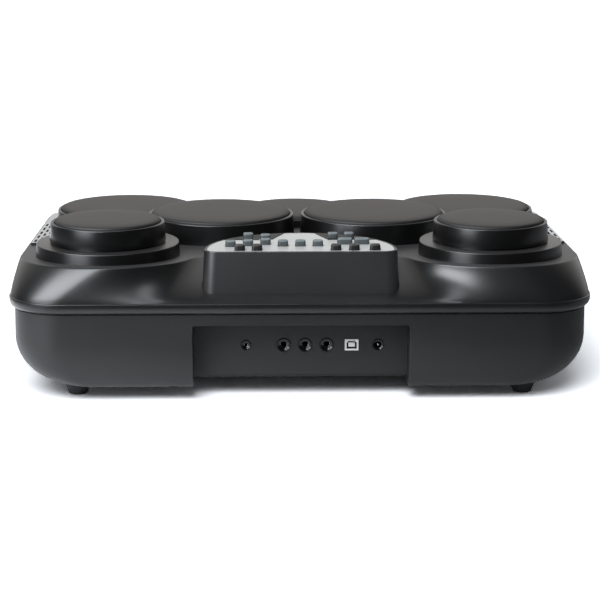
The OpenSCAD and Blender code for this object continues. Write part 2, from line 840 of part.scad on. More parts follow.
module usb_socket() {
    front = recess_back_y + panel_t;
    low = main_board_z + main_board_t;
    color("#e8e8e4") {
        difference() {
            union() {
                translate([usb_x - usb_w/2, front - usb_depth, socket_z - usb_h/2]) cube([usb_w, usb_depth, usb_h]);
                translate([usb_x - usb_w/2, front - usb_depth, low])
                    cube([usb_w, usb_depth - panel_t - fit, socket_z - low]);
            }
            translate([usb_x, front + over, socket_z]) rotate([90, 0, 0])
                linear_extrude(usb_cavity_d + over)
                    polygon([
                        [-usb_w/2 + usb_wall, -usb_h/2 + usb_wall], [usb_w/2 - usb_wall, -usb_h/2 + usb_wall],
                        [usb_w/2 - usb_wall, usb_h/2 - usb_wall - usb_chamfer],
                        [usb_w/2 - usb_wall - usb_chamfer, usb_h/2 - usb_wall],
                        [-usb_w/2 + usb_wall + usb_chamfer, usb_h/2 - usb_wall],
                        [-usb_w/2 + usb_wall, usb_h/2 - usb_wall - usb_chamfer]]);
        }
        translate([usb_x - usb_tongue_w/2, front - usb_cavity_d, socket_z - usb_tongue_h/2])
            cube([usb_tongue_w, usb_cavity_d - fit, usb_tongue_h]);
    }
}

module main_board() {
    color("#2f5d3a")
        block_at(main_board_w, main_board_d, main_board_y, main_board_z, main_board_t);
}

// Battery door: a plate with a latch tongue, cells and their contacts
latch_w = 22;
latch_d = 1.6;
latch_h = 5;

module battery_door() {
    color("#262729") {
        block_at(pocket_w + 2*door_rest - 2*door_gap, pocket_d + 2*door_rest - 2*door_gap, pocket_y, door_z, door_t);
        block_at(latch_w, latch_d, pocket_y + pocket_d/2 - latch_d/2 - door_gap, door_z, door_t + latch_h);
    }
}

module cells() {
    color("#b88a4a")
        for (row = [-1, 1], i = [-1:1])
            translate([i*cell_l - cell_l/2, pocket_y + row*(cell_r + 0.5), pocket_z + pocket_h - cell_r - fit])
                rotate([0, 90, 0]) cylinder(r = cell_r, h = cell_l - 0.1);
}

module battery_contacts() {
    end_x = pocket_w/2;
    contact_w = 16;
    nub_r = 3;
    color("silver")
        for (side = [-1, 1], row = [-1, 1])
            translate([side*end_x, pocket_y + row*(cell_r + 0.5), pocket_z + pocket_h - cell_r - fit])
                rotate([0, -side*90, 0]) {
                    translate([-contact_w/2, -contact_w/2, 0]) cube([contact_w, contact_w, contact_t]);
                    cylinder(r = nub_r, h = contact_t + contact_nub);
                }
}

module feet() {
    color("#0e0e0f")
        at_feet() {
            cylinder(r1 = foot_r_bottom, r2 = foot_r_top, h = foot_h);
            translate([0, 0, foot_h]) cylinder(r = foot_r_top, h = foot_pocket);
        }
}

module case_screws() {
    color("dimgray")
        at_screws() {
            translate([0, 0, foot_h + head_depth - head_h]) cylinder(r = screw_head_r, h = head_h);
            translate([0, 0, foot_h + head_depth]) cylinder(r = screw_r, h = lower_h - head_depth + screw_bite);
        }
}

black_tint = "#17181a";
grey_tint = "#6d7a80";

upper_shell();
lower_shell();
jack_panel();
console_housing();
console_faceplate();
faceplate_inlays();
keypad_mat();
console_board();
for (i = [0, 1]) pad_collar(pads[i]);  // rear_pad_collars
for (i = [0, 1]) pad_rim(pads[i]);  // rear_pad_rims
for (i = [2, 3]) pad_rim(pads[i]);  // middle_pad_rims
for (i = [4:6]) pad_rim(pads[i]);  // front_pad_rims
for (p = pads) pad_foam(p);  // pad_foam_rings
speaker(-1);  // left_speaker
speaker(1);  // right_speaker
speaker_grille(-1);  // left_grille
speaker_grille(1);  // right_grille
main_board();
quarter_inch_sockets();
aux_socket();
usb_socket();
power_socket();
cells();  // battery_cells
battery_contacts();
battery_door();
feet();
case_screws();
pad_rubber(pads[0]);  // pad_rear_left
pad_rubber(pads[1]);  // pad_rear_right
pad_rubber(pads[2]);  // pad_middle_left
pad_rubber(pads[3]);  // pad_middle_right
pad_rubber(pads[4]);  // pad_front_left
pad_rubber(pads[5]);  // pad_front_right
pad_rubber(pads[6]);  // pad_front_centre
pad_plate(pads[0]);  // plate_rear_left
pad_plate(pads[1]);  // plate_rear_right
pad_plate(pads[2]);  // plate_middle_left
pad_plate(pads[3]);  // plate_middle_right
pad_plate(pads[4]);  // plate_front_left
pad_plate(pads[5]);  // plate_front_right
pad_plate(pads[6]);  // plate_front_centre
button(black_buttons[0], button_w, black_tint);  // black_button_1
button(black_buttons[1], button_w, black_tint);  // black_button_2
button(black_buttons[2], button_w, black_tint);  // black_button_3
button(black_buttons[3], button_w, black_tint);  // black_button_4
button(black_buttons[4], button_w, black_tint);  // black_button_5
button(grey_buttons[0], button_w, grey_tint);  // grey_button_1
button(grey_buttons[1], button_w, grey_tint);  // grey_button_2
button(grey_buttons[2], button_w, grey_tint);  // grey_button_3
button(grey_buttons[3], button_w, grey_tint);  // grey_button_4
button(grey_buttons[4], button_w, grey_tint);  // grey_button_5
button(grey_buttons[5], button_w, grey_tint);  // grey_button_6
button(grey_buttons[6], button_w, grey_tint);  // grey_button_7
button(grey_buttons[7], button_w, grey_tint);  // grey_button_8
button(grey_buttons[8], button_w, grey_tint);  // grey_button_9
button(grey_buttons[9], button_w, grey_tint);  // grey_button_10
button(wide_buttons[0], wide_button_w, grey_tint);  // wide_button_1
button(wide_buttons[1], wide_button_w, grey_tint);  // wide_button_2
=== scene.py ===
import math
import bmesh
import bpy
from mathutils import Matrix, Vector


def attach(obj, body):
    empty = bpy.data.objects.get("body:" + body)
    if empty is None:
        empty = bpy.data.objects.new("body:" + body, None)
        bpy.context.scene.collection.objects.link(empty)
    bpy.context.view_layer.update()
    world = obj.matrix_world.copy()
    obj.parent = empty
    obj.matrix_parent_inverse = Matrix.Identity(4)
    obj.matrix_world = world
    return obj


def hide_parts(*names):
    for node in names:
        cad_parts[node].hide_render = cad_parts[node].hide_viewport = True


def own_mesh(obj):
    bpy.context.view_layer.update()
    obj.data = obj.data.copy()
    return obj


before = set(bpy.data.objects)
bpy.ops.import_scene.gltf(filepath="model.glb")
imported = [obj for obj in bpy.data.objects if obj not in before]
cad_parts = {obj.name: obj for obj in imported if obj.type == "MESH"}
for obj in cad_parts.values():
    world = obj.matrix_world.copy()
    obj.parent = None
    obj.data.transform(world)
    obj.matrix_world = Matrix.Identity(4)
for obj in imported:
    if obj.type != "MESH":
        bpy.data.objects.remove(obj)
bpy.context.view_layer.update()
print("frame loaded with", len(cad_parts), "nodes")

mm = 0.001
# metres: how far apart two places still count as one
hair, speck = 0.00001, 0.000001


# hands: what every piece is made with
def letGo():
    if bpy.context.object and bpy.context.object.mode != "OBJECT":
        bpy.ops.object.mode_set(mode="OBJECT")
    bpy.ops.object.select_all(action="DESELECT")


def hold(*objs):
    letGo()
    for obj in objs:
        obj.select_set(True)
    bpy.context.view_layer.objects.active = objs[0]


def openUp(obj):
    hold(obj)
    bpy.ops.object.mode_set(mode="EDIT")


def pick(obj, kind, test):
    bpy.ops.mesh.select_mode(type=kind)
    bpy.ops.mesh.select_all(action="DESELECT")
    bm = bmesh.from_edit_mesh(obj.data)
    found = 0
    for item in {"VERT": bm.verts, "EDGE": bm.edges, "FACE": bm.faces}[kind]:
        if test(item):
            item.select_set(True)
            found += 1
    bm.select_flush_mode()
    bmesh.update_edit_mesh(obj.data)
    return found


def middleOf(item):
    return sum((v.co for v in item.verts), Vector()) / len(item.verts)


def facesUp(face):
    return face.normal.z > 0.9


def moveAll(obj, x, y, z):
    openUp(obj)
    bpy.ops.mesh.select_all(action="SELECT")
    bpy.ops.transform.translate(value=(x * mm, y * mm, z * mm))
    letGo()


def copyOf(obj):
    hold(obj)
    bpy.ops.object.duplicate(linked=False)
    return bpy.context.object


def cutAway(obj, *cutters):
    for cutter in cutters:
        hold(obj)
        cut = obj.modifiers.new("cut", "BOOLEAN")
        cut.operation = "DIFFERENCE"
        cut.solver = "EXACT"
        cut.object = cutter
        bpy.ops.object.modifier_apply(modifier=cut.name)
        bpy.data.objects.remove(cutter, do_unlink=True)


def joined(*objs):
    hold(*objs)
    bpy.ops.object.join()
    return bpy.context.object


def finishPiece(obj, name, body, nodes, material, angle=35):
    hold(obj)
    bpy.ops.object.transform_apply(location=True, rotation=True, scale=True)
    bpy.ops.object.shade_smooth_by_angle(angle=math.radians(angle))
    obj.name = name
    obj.data.name = name
    obj.data.materials.clear()
    obj.data.materials.append(material)
    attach(obj, body)
    if nodes:
        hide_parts(*nodes)
    letGo()
    return obj


# a round edge of a turned profile, as (radius, height) points
def roundEdge(r, z, size, start, end, steps=4):
    return [(r + size * math.cos(math.radians(start + (end - start) * i / steps)),
             z + size * math.sin(math.radians(start + (end - start) * i / steps)))
            for i in range(steps + 1)]


# draws a profile in the XZ plane, one extruded point after the other, and turns it about Z
def turnedPiece(profile, steps=96):
    letGo()
    bpy.ops.mesh.primitive_plane_add(size=0.01)
    obj = bpy.context.object
    bpy.ops.object.mode_set(mode="EDIT")
    bpy.ops.mesh.select_mode(type="VERT")
    bpy.ops.mesh.select_all(action="SELECT")
    bpy.ops.mesh.merge(type="CENTER")
    bpy.ops.transform.translate(value=(profile[0][0] * mm, 0, profile[0][1] * mm))
    for (r0, z0), (r1, z1) in zip(profile, profile[1:]):
        bpy.ops.mesh.extrude_vertices_move(
            TRANSFORM_OT_translate={"value": ((r1 - r0) * mm, 0, (z1 - z0) * mm)})
    bpy.ops.mesh.select_all(action="SELECT")
    bpy.ops.mesh.spin(steps=steps, angle=2 * math.pi, center=(0, 0, 0), axis=(0, 0, 1))
    bpy.ops.mesh.select_all(action="SELECT")
    bpy.ops.mesh.remove_doubles(threshold=2 * speck)
    bpy.ops.mesh.normals_make_consistent(inside=False)
    letGo()
    return obj


# a slab with round corners: a plane, its corners rounded, pulled up
def roundSlab(width, depth, corner, height, segments=5):
    letGo()
    bpy.ops.mesh.primitive_plane_add(size=1)
    obj = bpy.context.object
    bpy.ops.object.mode_set(mode="EDIT")
    bpy.ops.mesh.select_all(action="SELECT")
    bpy.ops.transform.resize(value=(width * mm, depth * mm, 1), center_override=(0, 0, 0))
    bpy.ops.mesh.bevel(offset=corner * mm, segments=segments, affect="VERTICES")
    bpy.ops.mesh.select_all(action="SELECT")
    bpy.ops.mesh.extrude_region_move(TRANSFORM_OT_translate={"value": (0, 0, height * mm)})
    bpy.ops.mesh.select_all(action="SELECT")
    bpy.ops.mesh.normals_make_consistent(inside=False)
    letGo()
    return obj


def faceBack(obj, x, y, z):
    # turns what points up to point at the back, and puts it at its place
    openUp(obj)
    bpy.ops.mesh.select_all(action="SELECT")
    bm = bmesh.from_edit_mesh(obj.data)
    for v in bm.verts:
        v.co = Vector((-v.co.x, v.co.z, v.co.y))
    bmesh.update_edit_mesh(obj.data)
    bpy.ops.transform.translate(value=(x * mm, y * mm, z * mm))
    letGo()


# finishes: one group gives grain, slow drift of tone and the gloss that goes with them
def makeGrainGroup():
    group = bpy.data.node_groups.new("mouldedGrain", "ShaderNodeTree")
    ins = group.interface
    ins.new_socket("Vector", in_out="INPUT", socket_type="NodeSocketVector")
    for label, value in (("Grain Scale", 900), ("Drift Scale", 9), ("Gloss Low", 0.3), ("Gloss High", 0.5)):
        ins.new_socket(label, in_out="INPUT", socket_type="NodeSocketFloat").default_value = value
    for label in ("Height", "Drift", "Roughness"):
        ins.new_socket(label, in_out="OUTPUT", socket_type="NodeSocketFloat")
    nodes, links = group.nodes, group.links
    given = nodes.new("NodeGroupInput")
    out = nodes.new("NodeGroupOutput")
    grain = nodes.new("ShaderNodeTexNoise")
    grain.inputs["Detail"].default_value = 3
    links.new(given.outputs["Vector"], grain.inputs["Vector"])
    links.new(given.outputs["Grain Scale"], grain.inputs["Scale"])
    pits = nodes.new("ShaderNodeTexVoronoi")
    links.new(given.outputs["Vector"], pits.inputs["Vector"])
    links.new(given.outputs["Grain Scale"], pits.inputs["Scale"])
    height = nodes.new("ShaderNodeMath")
    height.operation = "ADD"
    links.new(grain.outputs["Fac"], height.inputs[0])
    links.new(pits.outputs["Distance"], height.inputs[1])
    drift = nodes.new("ShaderNodeTexNoise")
    drift.inputs["Detail"].default_value = 4
    links.new(given.outputs["Vector"], drift.inputs["Vector"])
    links.new(given.outputs["Drift Scale"], drift.inputs["Scale"])
    spread = nodes.new("ShaderNodeMapRange")
    spread.inputs["From Min"].default_value = 0.3
    spread.inputs["From Max"].default_value = 0.7
    links.new(drift.outputs["Fac"], spread.inputs["Value"])
    # gloss follows the drift, broken up by the grain
    blend = nodes.new("ShaderNodeMath")
    blend.operation = "MULTIPLY_ADD"
    blend.inputs[1].default_value = 0.35
    links.new(grain.outputs["Fac"], blend.inputs[0])
    links.new(spread.outputs["Result"], blend.inputs[2])
    gloss = nodes.new("ShaderNodeMapRange")
    gloss.inputs["From Max"].default_value = 1.35
    links.new(blend.outputs["Value"], gloss.inputs["Value"])
    links.new(given.outputs["Gloss Low"], gloss.inputs["To Min"])
    links.new(given.outputs["Gloss High"], gloss.inputs["To Max"])
    links.new(height.outputs["Value"], out.inputs["Height"])
    links.new(spread.outputs["Result"], out.inputs["Drift"])
    links.new(gloss.outputs["Result"], out.inputs["Roughness"])
    return group


grainGroup = makeGrainGroup()


def makeFinish(name, dark, light, gloss, grain=900, relief=0.1, depth=0.05, drift=9, **sockets):
    material = bpy.data.materials.new(name)
    material.use_nodes = True
    nodes, links = material.node_tree.nodes, material.node_tree.links
    shader = nodes["Principled BSDF"]
    place = nodes.new("ShaderNodeTexCoord")
    texture = nodes.new("ShaderNodeGroup")
    texture.node_tree = grainGroup
    texture.inputs["Grain Scale"].default_value = grain
    texture.inputs["Drift Scale"].default_value = drift
    texture.inputs["Gloss Low"].default_value = gloss[0]
    texture.inputs["Gloss High"].default_value = gloss[1]
    links.new(place.outputs["Object"], texture.inputs["Vector"])
    tone = nodes.new("ShaderNodeMix")
    tone.data_type = "RGBA"
    tone.inputs["A"].default_value = (*dark, 1)
    tone.inputs["B"].default_value = (*light, 1)
    links.new(texture.outputs["Drift"], tone.inputs["Factor"])
    links.new(tone.outputs["Result"], shader.inputs["Base Color"])
    links.new(texture.outputs["Roughness"], shader.inputs["Roughness"])
    bump = nodes.new("ShaderNodeBump")
    bump.inputs["Strength"].default_value = relief
    bump.inputs["Distance"].default_value = depth * mm
    links.new(texture.outputs["Height"], bump.inputs["Height"])
    links.new(bump.outputs["Normal"], shader.inputs["Normal"])
    for label, value in sockets.items():
        shader.inputs[label.replace("_", " ")].default_value = value
    return material


# painted light and shade: what faces up is painted lighter and gets its own gloss, and the walls keep the
# darker tone
def paintLightOnTops(material, colour, gloss, low, high):
    nodes, links = material.node_tree.nodes, material.node_tree.links
    shader = nodes["Principled BSDF"]
    place = nodes.new("ShaderNodeTexCoord")
    split = nodes.new("ShaderNodeSeparateXYZ")
    links.new(place.outputs["Normal"], split.inputs["Vector"])
    face = nodes.new("ShaderNodeMapRange")
    face.interpolation_type = "SMOOTHSTEP"
    face.inputs["From Min"].default_value = low
    face.inputs["From Max"].default_value = high
    links.new(split.outputs["Z"], face.inputs["Value"])
    tint = nodes.new("ShaderNodeMix")
    tint.data_type = "RGBA"
    tint.blend_type = "MULTIPLY"
    links.new(face.outputs["Result"], tint.inputs["Factor"])
    links.new(shader.inputs["Base Color"].links[0].from_socket, tint.inputs["A"])
    tint.inputs["B"].default_value = (*colour, 1)
    links.new(tint.outputs["Result"], shader.inputs["Base Color"])
    dull = nodes.new("ShaderNodeMix")
    links.new(face.outputs["Result"], dull.inputs["Factor"])
    links.new(shader.inputs["Roughness"].links[0].from_socket, dull.inputs["A"])
    dull.inputs["B"].default_value = gloss
    links.new(dull.outputs["Result"], shader.inputs["Roughness"])


satinBlack = makeFinish("satinBlack", (0.0065, 0.0067, 0.0071), (0.0085, 0.0087, 0.0091),
                        (0.28, 0.36), 1100, 0.1)
# painted sheen: the deck's top is painted lighter than the shoulders and lip
paintLightOnTops(satinBlack, (5.8, 5.5, 5.3), 0.5, 0.93, 0.985)
rimBlack = makeFinish("rimBlack", (0.0025, 0.0025, 0.0027), (0.004, 0.004, 0.0042), (0.28, 0.36), 1200, 0.1)
# painted sheen: the tops of the rims and collars are painted lighter than their walls
paintLightOnTops(rimBlack, (12, 11.5, 11), 0.38, 0.9, 0.98)
podBlack = makeFinish("podBlack", (0.019, 0.0195, 0.0205), (0.023, 0.0235, 0.0245), (0.36, 0.44), 1100, 0.1)
baseCharcoal = makeFinish("baseCharcoal", (0.0065, 0.0067, 0.0072), (0.009, 0.0092, 0.0097),
                          (0.44, 0.54), 800, 0.25)
panelCharcoal = makeFinish("panelCharcoal", (0.007, 0.0068, 0.0071), (0.0095, 0.0093, 0.0096),
                           (0.55, 0.65), 1300, 0.2)
padRubber = makeFinish("padRubber", (0.0045, 0.0043, 0.0042), (0.0055, 0.0053, 0.0051),
                       (0.6, 0.7), 1500, 0.2, 0.05)
# painted sheen: the rubber tops are painted warm grey, and the edges stay near black
paintLightOnTops(padRubber, (9.6, 8.6, 7.8), 0.6, 0.965, 0.9995)
padFoam = makeFinish("padFoam", (0.05, 0.05, 0.052), (0.075, 0.075, 0.078), (0.85, 0.95), 600, 0.8, 0.2)
padSteel = makeFinish("padSteel", (0.5, 0.5, 0.51), (0.58, 0.58, 0.59), (0.28, 0.4), 1500, 0.1, Metallic=1)
silverPaint = makeFinish("silverPaint", (0.66, 0.655, 0.63), (0.72, 0.715, 0.69),
                         (0.32, 0.42), 2500, 0.1, 0.02)
grilleSilver = makeFinish("grilleSilver", (0.0095, 0.0095, 0.0095), (0.0105, 0.0105, 0.0105),
                          (0.3, 0.42), 2500, 0.1, 0.02)
# painted shade: the grille's upward faces are silver, and the walls of its holes are painted near black
paintLightOnTops(grilleSilver, (60, 60, 59), 0.4, 0.5, 0.9)
inlayBlack = makeFinish("inlayBlack", (0.0035, 0.0035, 0.0037), (0.005, 0.005, 0.0052),
                        (0.4, 0.5), 700, 0.03, 0.02,
                        Specular_IOR_Level=0.12)
greyButton = makeFinish("greyButton", (0.05, 0.061, 0.064), (0.06, 0.072, 0.075),
                        (0.5, 0.6), 1800, 0.2, 0.03)
# painted light: the grey button tops are painted lighter than their sides
paintLightOnTops(greyButton, (3.4, 3.4, 3.4), 0.45, 0.1, 0.9)
blackButton = makeFinish("blackButton", (0.004, 0.004, 0.0042), (0.006, 0.006, 0.0062),
                         (0.42, 0.52), 1800, 0.2, 0.03)
# painted light: the black button tops are painted lighter than their sides
paintLightOnTops(blackButton, (3, 3, 3), 0.45, 0.3, 0.9)
siliconeMat = makeFinish("siliconeMat", (0.3, 0.31, 0.315), (0.36, 0.37, 0.375), (0.6, 0.7), 900, 0.15)
boardGreen = makeFinish("boardGreen", (0.018, 0.1, 0.035), (0.028, 0.13, 0.05),
                        (0.35, 0.5), 500, 0.2, drift=120)
speakerFrame = makeFinish("speakerFrame", (0.018, 0.018, 0.019), (0.026, 0.026, 0.027),
                          (0.55, 0.7), 700, 0.3)
socketBlack = makeFinish("socketBlack", (0.003, 0.003, 0.0032), (0.0045, 0.0045, 0.0047),
                         (0.16, 0.22), 1500, 0.05,
                         Specular_IOR_Level=0.35)
# painted shade: near black, for the inside of the USB cavity
paintedShadeBlack = makeFinish("paintedShadeBlack", (0.003, 0.003, 0.003), (0.005, 0.005, 0.005), (0.5, 0.6), 1500, 0.1)
socketWhite = makeFinish("socketWhite", (0.86, 0.86, 0.84), (0.9, 0.9, 0.88), (0.35, 0.45), 1500, 0.08)
nickel = makeFinish("nickel", (0.62, 0.6, 0.57), (0.7, 0.68, 0.65), (0.16, 0.26), 1200, 0.05, Metallic=1)
cellSleeve = makeFinish("cellSleeve", (0.03, 0.05, 0.09), (0.045, 0.07, 0.12),
                        (0.25, 0.35), 500, 0.05, drift=40)
footRubber = makeFinish("footRubber", (0.01, 0.01, 0.0102), (0.015, 0.015, 0.0153), (0.65, 0.78), 900, 0.3)
screwSteel = makeFinish("screwSteel", (0.07, 0.07, 0.072), (0.1, 0.1, 0.102),
                        (0.3, 0.42), 1500, 0.1, Metallic=1)
print("finishes made:", len(bpy.data.materials))


# shells: their outlines are drawn by points, because the deck's edge swells round the rear pads
shells = {
    "width": 550, "depth": 430, "bottom": 14, "parting": 86, "lipTop": 97, "wall": 3,
    "lipRear": 52, "lipFront": 58, "lipTuck": 5.5, "lipStep": 1.2,
    "deckRise": 31, "deckFall": 18, "deckSide": 6.5, "deckFront": 16, "deckCorner": 48,
    "lobe": 84, "lobeX": 184.5, "lobeY": 117, "hollow": 30, "valley": 87, "bend": 1.25,
    "baseInset": 5, "tuckSide": 50, "tuckEnd": 12, "baseCorner": 30, "tubShare": 0.6,
    "cornerSteps": 20, "lobeSteps": 14, "climbSteps": 16, "baseSteps": 18,
    "deckEdge": 0.9, "cut": (70, 170)}
# the lip's rings, as inset and height over the parting line
lipRings = [(0.6, 10.65), (0.3, 10.55), (0.08, 10.3), (0, 10), (0, 7.5), (0.1, 6), (0.5, 4.4), (1.4, 2.6),
            (2.8, 1.2), (4.4, 0.3), (5.5, 0), (shells["lipTuck"] + shells["wall"], 0)]

deckRearY = shells["lobeY"] + shells["lobe"]
deckFrontY = -shells["depth"] / 2 + shells["deckFront"]
deckRearZ = shells["lipTop"] + shells["deckRise"]
deckSlope = shells["deckFall"] / (deckRearY - deckFrontY)
deckUp = Vector((0, -deckSlope, 1)).normalized()
valleyY = shells["depth"] / 2 - shells["valley"]


def deckZ(y):
    return deckRearZ - (deckRearY - y) * deckSlope


def arcPoints(cx, cy, r, start, end, steps):
    turns = [math.radians(start + (end - start) * i / steps) for i in range(steps + 1)]
    return [(cx + r * math.cos(t), cy + r * math.sin(t)) for t in turns]


def closedOutline(half, middleY, hw, yf, rf):
    n = shells["cornerSteps"]
    return (half + [(0, middleY)] + [(-x, y) for x, y in reversed(half)]
            + arcPoints(-hw + rf, yf + rf, rf, 180, 270, n) + arcPoints(hw - rf, yf + rf, rf, 270, 360, n))


def lobeEdge(inset):
    n = shells["lobeSteps"]
    r, f = shells["lobe"] - inset, shells["hollow"] + inset
    y = valleyY - inset + f
    run = math.sqrt((r + f) ** 2 - (y - shells["lobeY"]) ** 2)
    turn = math.degrees(math.atan2(y - shells["lobeY"], run))
    step = (90 - turn) / n
    return (arcPoints(shells["lobeX"], shells["lobeY"], r, 90 + step, 180 - turn, n - 1)
            + arcPoints(shells["lobeX"] - run, y, f, -turn - step, -90, n - 1))


def deckOutline(inset):
    corner = arcPoints(shells["lobeX"], shells["lobeY"], shells["lobe"] - inset, 0, 90, shells["cornerSteps"])
    return closedOutline(corner + lobeEdge(inset), valleyY - inset,
                         shells["width"] / 2 - shells["deckSide"] - inset, deckFrontY + inset,
                         shells["deckCorner"] - inset)


def lipOutline(inset):
    hw, yr, r = shells["width"] / 2 - inset, shells["depth"] / 2 - inset, shells["lipRear"] - inset
    corner = arcPoints(hw - r, yr - r, r, 0, 90, shells["cornerSteps"])
    back = [(x * (hw - r) / shells["lobeX"], yr) for x, y in lobeEdge(0)]
    return closedOutline(corner + back, yr, hw, -yr, shells["lipFront"] - inset)


def lipRing(inset, z):
    return [(x, y, z) for x, y in lipOutline(inset)]


def shoulderRing(u, thick):
    low, high = lipOutline(shells["lipStep"] + thick), deckOutline(thick)
    s = u ** shells["bend"]
    ring = []
    for (x0, y0), (x1, y1) in zip(low, high):
        x, y = x0 + (x1 - x0) * s, y0 + (y1 - y0) * s
        top = deckZ(y) - thick / deckUp.z
        ring.append((x, y, shells["lipTop"] + (top - shells["lipTop"]) * u))
    return ring


def baseRing(u, thick):
    share = shells["tubShare"]
    s = 0 if u >= share else 1 - math.sqrt(1 - (1 - u / share) ** 2)
    inset = shells["baseInset"] + thick
    rear, front = [(1 - s) * (shells[key] - shells["baseInset"]) + s * shells["baseCorner"] - thick
                   for key in ("lipRear", "lipFront")]
    hw = shells["width"] / 2 - inset - shells["tuckSide"] * s
    yr = shells["depth"] / 2 - inset - shells["tuckEnd"] * s
    z = shells["bottom"] + thick + (shells["parting"] - shells["bottom"] - thick) * u
    corner = arcPoints(hw - rear, yr - rear, rear, 0, 90, shells["cornerSteps"])
    return [(x, y, z) for x, y in closedOutline(corner, yr, hw, -yr, front)]


# rings of equal length joined face by face, the first and last one closed
def skinOver(name, rings):
    mesh = bpy.data.meshes.new(name)
    obj = bpy.data.objects.new(name, mesh)
    bpy.context.collection.objects.link(obj)
    bm = bmesh.new()
    loops = [[bm.verts.new(Vector(p) * mm) for p in ring] for ring in rings]
    count = len(rings[0])
    for low, high in zip(loops, loops[1:]):
        for i in range(count):
            j = (i + 1) % count
            bm.faces.new((low[i], low[j], high[j], high[i]))
    bm.faces.new(list(reversed(loops[0])))
    bm.faces.new(loops[-1])
    bmesh.ops.recalc_face_normals(bm, faces=bm.faces)
    bm.to_mesh(mesh)
    bm.free()
    return obj


def tallDrum(x, y, r, low, high):
    letGo()
    bpy.ops.mesh.primitive_cylinder_add(
        vertices=96, radius=r * mm, depth=(high - low) * mm, location=(x * mm, y * mm, (low + high) / 2 * mm))
    bpy.ops.object.transform_apply(location=True, rotation=True, scale=True)
    return bpy.context.object


def block(x, y, z, width, depth, height):
    letGo()
    bpy.ops.mesh.primitive_cube_add(size=1, location=(x * mm, y * mm, (z + height / 2) * mm))
    obj = bpy.context.object
    obj.scale = (width * mm, depth * mm, height * mm)
    bpy.ops.object.transform_apply(location=True, rotation=True, scale=True)
    return obj


# pads as x, y, radius, height of the top
pads = {
    "rear_left": (-184.5, 117, 51, 161), "rear_right": (184.5, 117, 51, 161),
    "middle_left": (-78, -8, 70.4, 146), "middle_right": (78, -8, 70.4, 146),
    "front_left": (-180.5, -117, 70.4, 132), "front_right": (180.5, -117, 70.4, 132),
    "front_centre": (0, -125, 59, 128)}
padFit = {"rubber": 6, "plate": 2, "plateIn": 6, "foam": 7, "foamIn": 8, "foamWide": 9, "gap": 0.4,
          "rim": 3.2, "proud": 3.8, "travel": 1.2, "stop": 0.4, "step": 6.4, "shelf": 3,
          "bucketGap": 0.5, "plateGap": 0.5, "foamGap": 0.25, "foamSlack": 0.2, "foamRound": 1}
console = {"halfWidth": 90, "length": 94, "corner": 12, "draft": 2.4, "top": 143, "foot": 100, "back": 200,
           "wall": 2.4, "seat": 133.1, "edge": 0.8}
speakerAt = {"x": 200, "y": 0, "opening": 35}


# the pod's outline: an ellipse, cut across, its ends drawn back and the two corners rounded
def podOutline(grow, z):
    a, b, r = console["halfWidth"] + grow, console["length"] - console["corner"] + grow, console["corner"]
    letGo()
    bpy.ops.mesh.primitive_circle_add(vertices=96, radius=1, fill_type="NOTHING")
    obj = bpy.context.object
    bpy.ops.object.mode_set(mode="EDIT")
    bpy.ops.mesh.select_all(action="SELECT")
    bpy.ops.transform.resize(value=(a * mm, b * mm, 1), center_override=(0, 0, 0))
    bpy.ops.mesh.bisect(plane_co=(0, 0, 0), plane_no=(0, 1, 0), clear_outer=True)
    pick(obj, "VERT", lambda v: v.co.y > -speck)
    bpy.ops.mesh.extrude_vertices_move(TRANSFORM_OT_translate={"value": (0, (r + grow) * mm, 0)})
    bpy.ops.mesh.edge_face_add()
    pick(obj, "VERT", lambda v: v.co.y > (r + grow) * mm - speck)
    bpy.ops.mesh.bevel(offset=(r + grow) * mm, offset_type="OFFSET", segments=10, affect="VERTICES")
    bpy.ops.mesh.select_all(action="SELECT")
    bpy.ops.mesh.remove_doubles(threshold=hair)
    bpy.ops.transform.translate(value=(0, (console["back"] - r) * mm, z * mm))
    letGo()
    return obj


def podBlock(grow, low, high):
    obj = podOutline(grow, low)
    openUp(obj)
    bpy.ops.mesh.select_all(action="SELECT")
    bpy.ops.mesh.edge_face_add()
    bpy.ops.mesh.extrude_region_move(TRANSFORM_OT_translate={"value": (0, 0, (high - low) * mm)})
    bpy.ops.mesh.select_all(action="SELECT")
    bpy.ops.mesh.normals_make_consistent(inside=False)
    letGo()
    return obj


def makeUpperShell():
    wall = shells["wall"]
    inner = [shoulderRing(u, wall) for u in (1, 0.8, 0.6, 0.4, 0.2, 0)]
    lip = [lipRing(inset, shells["parting"] + z) for inset, z in reversed(lipRings)]
    climb = [shoulderRing(k / shells["climbSteps"], 0) for k in range(shells["climbSteps"] + 1)]
    obj = skinOver("upperShell", inner + lip + climb)
    openUp(obj)
    # the crisp edge of the deck gets a small round
    pick(obj, "FACE", lambda f: f.normal.dot(deckUp) > 0.9999 and len(f.verts) > 8)
    bpy.ops.mesh.region_to_loop()
    bpy.ops.mesh.bevel(offset=shells["deckEdge"] * mm, segments=3, affect="EDGES")
    letGo()
    drums = [tallDrum(x, y, r + padFit["gap"] + padFit["rim"] - padFit["step"], *shells["cut"])
             for x, y, r, z in pads.values()]
    drums += [tallDrum(side * speakerAt["x"], speakerAt["y"], speakerAt["opening"], *shells["cut"])
              for side in (-1, 1)]
    cutAway(obj, joined(*drums), podBlock(console["draft"], *shells["cut"]))
    return finishPiece(obj, "upperShell", "kit", ["upper_shell"], satinBlack, 28)


base = {"recessWidth": 202, "recessBack": 181, "recessTop": 75, "panelLow": 22, "under": 155, "flange": 6,
        "recessRound": 2.5, "edgeRound": 1.1, "below": -10, "reach": 120, "over": 5,
        "rimAt": 0.97, "rimHigh": 1.4, "rimIn": 0.6, "openingAt": 5, "openingDeep": 20,
        "pocketY": -60, "pocket": (152.6, 55.4, 31), "door": (160.8, 63.6), "doorTop": 17,
        "postR": 5.5, "postTop": 90, "headR": 3.6, "headTop": 20,
        "screws": [(130, 168), (205, 50), (95, -180)],
        "notchX": 120, "notchY": 190, "notchR": 9, "notchLong": 40, "notchHigh": 1.5}


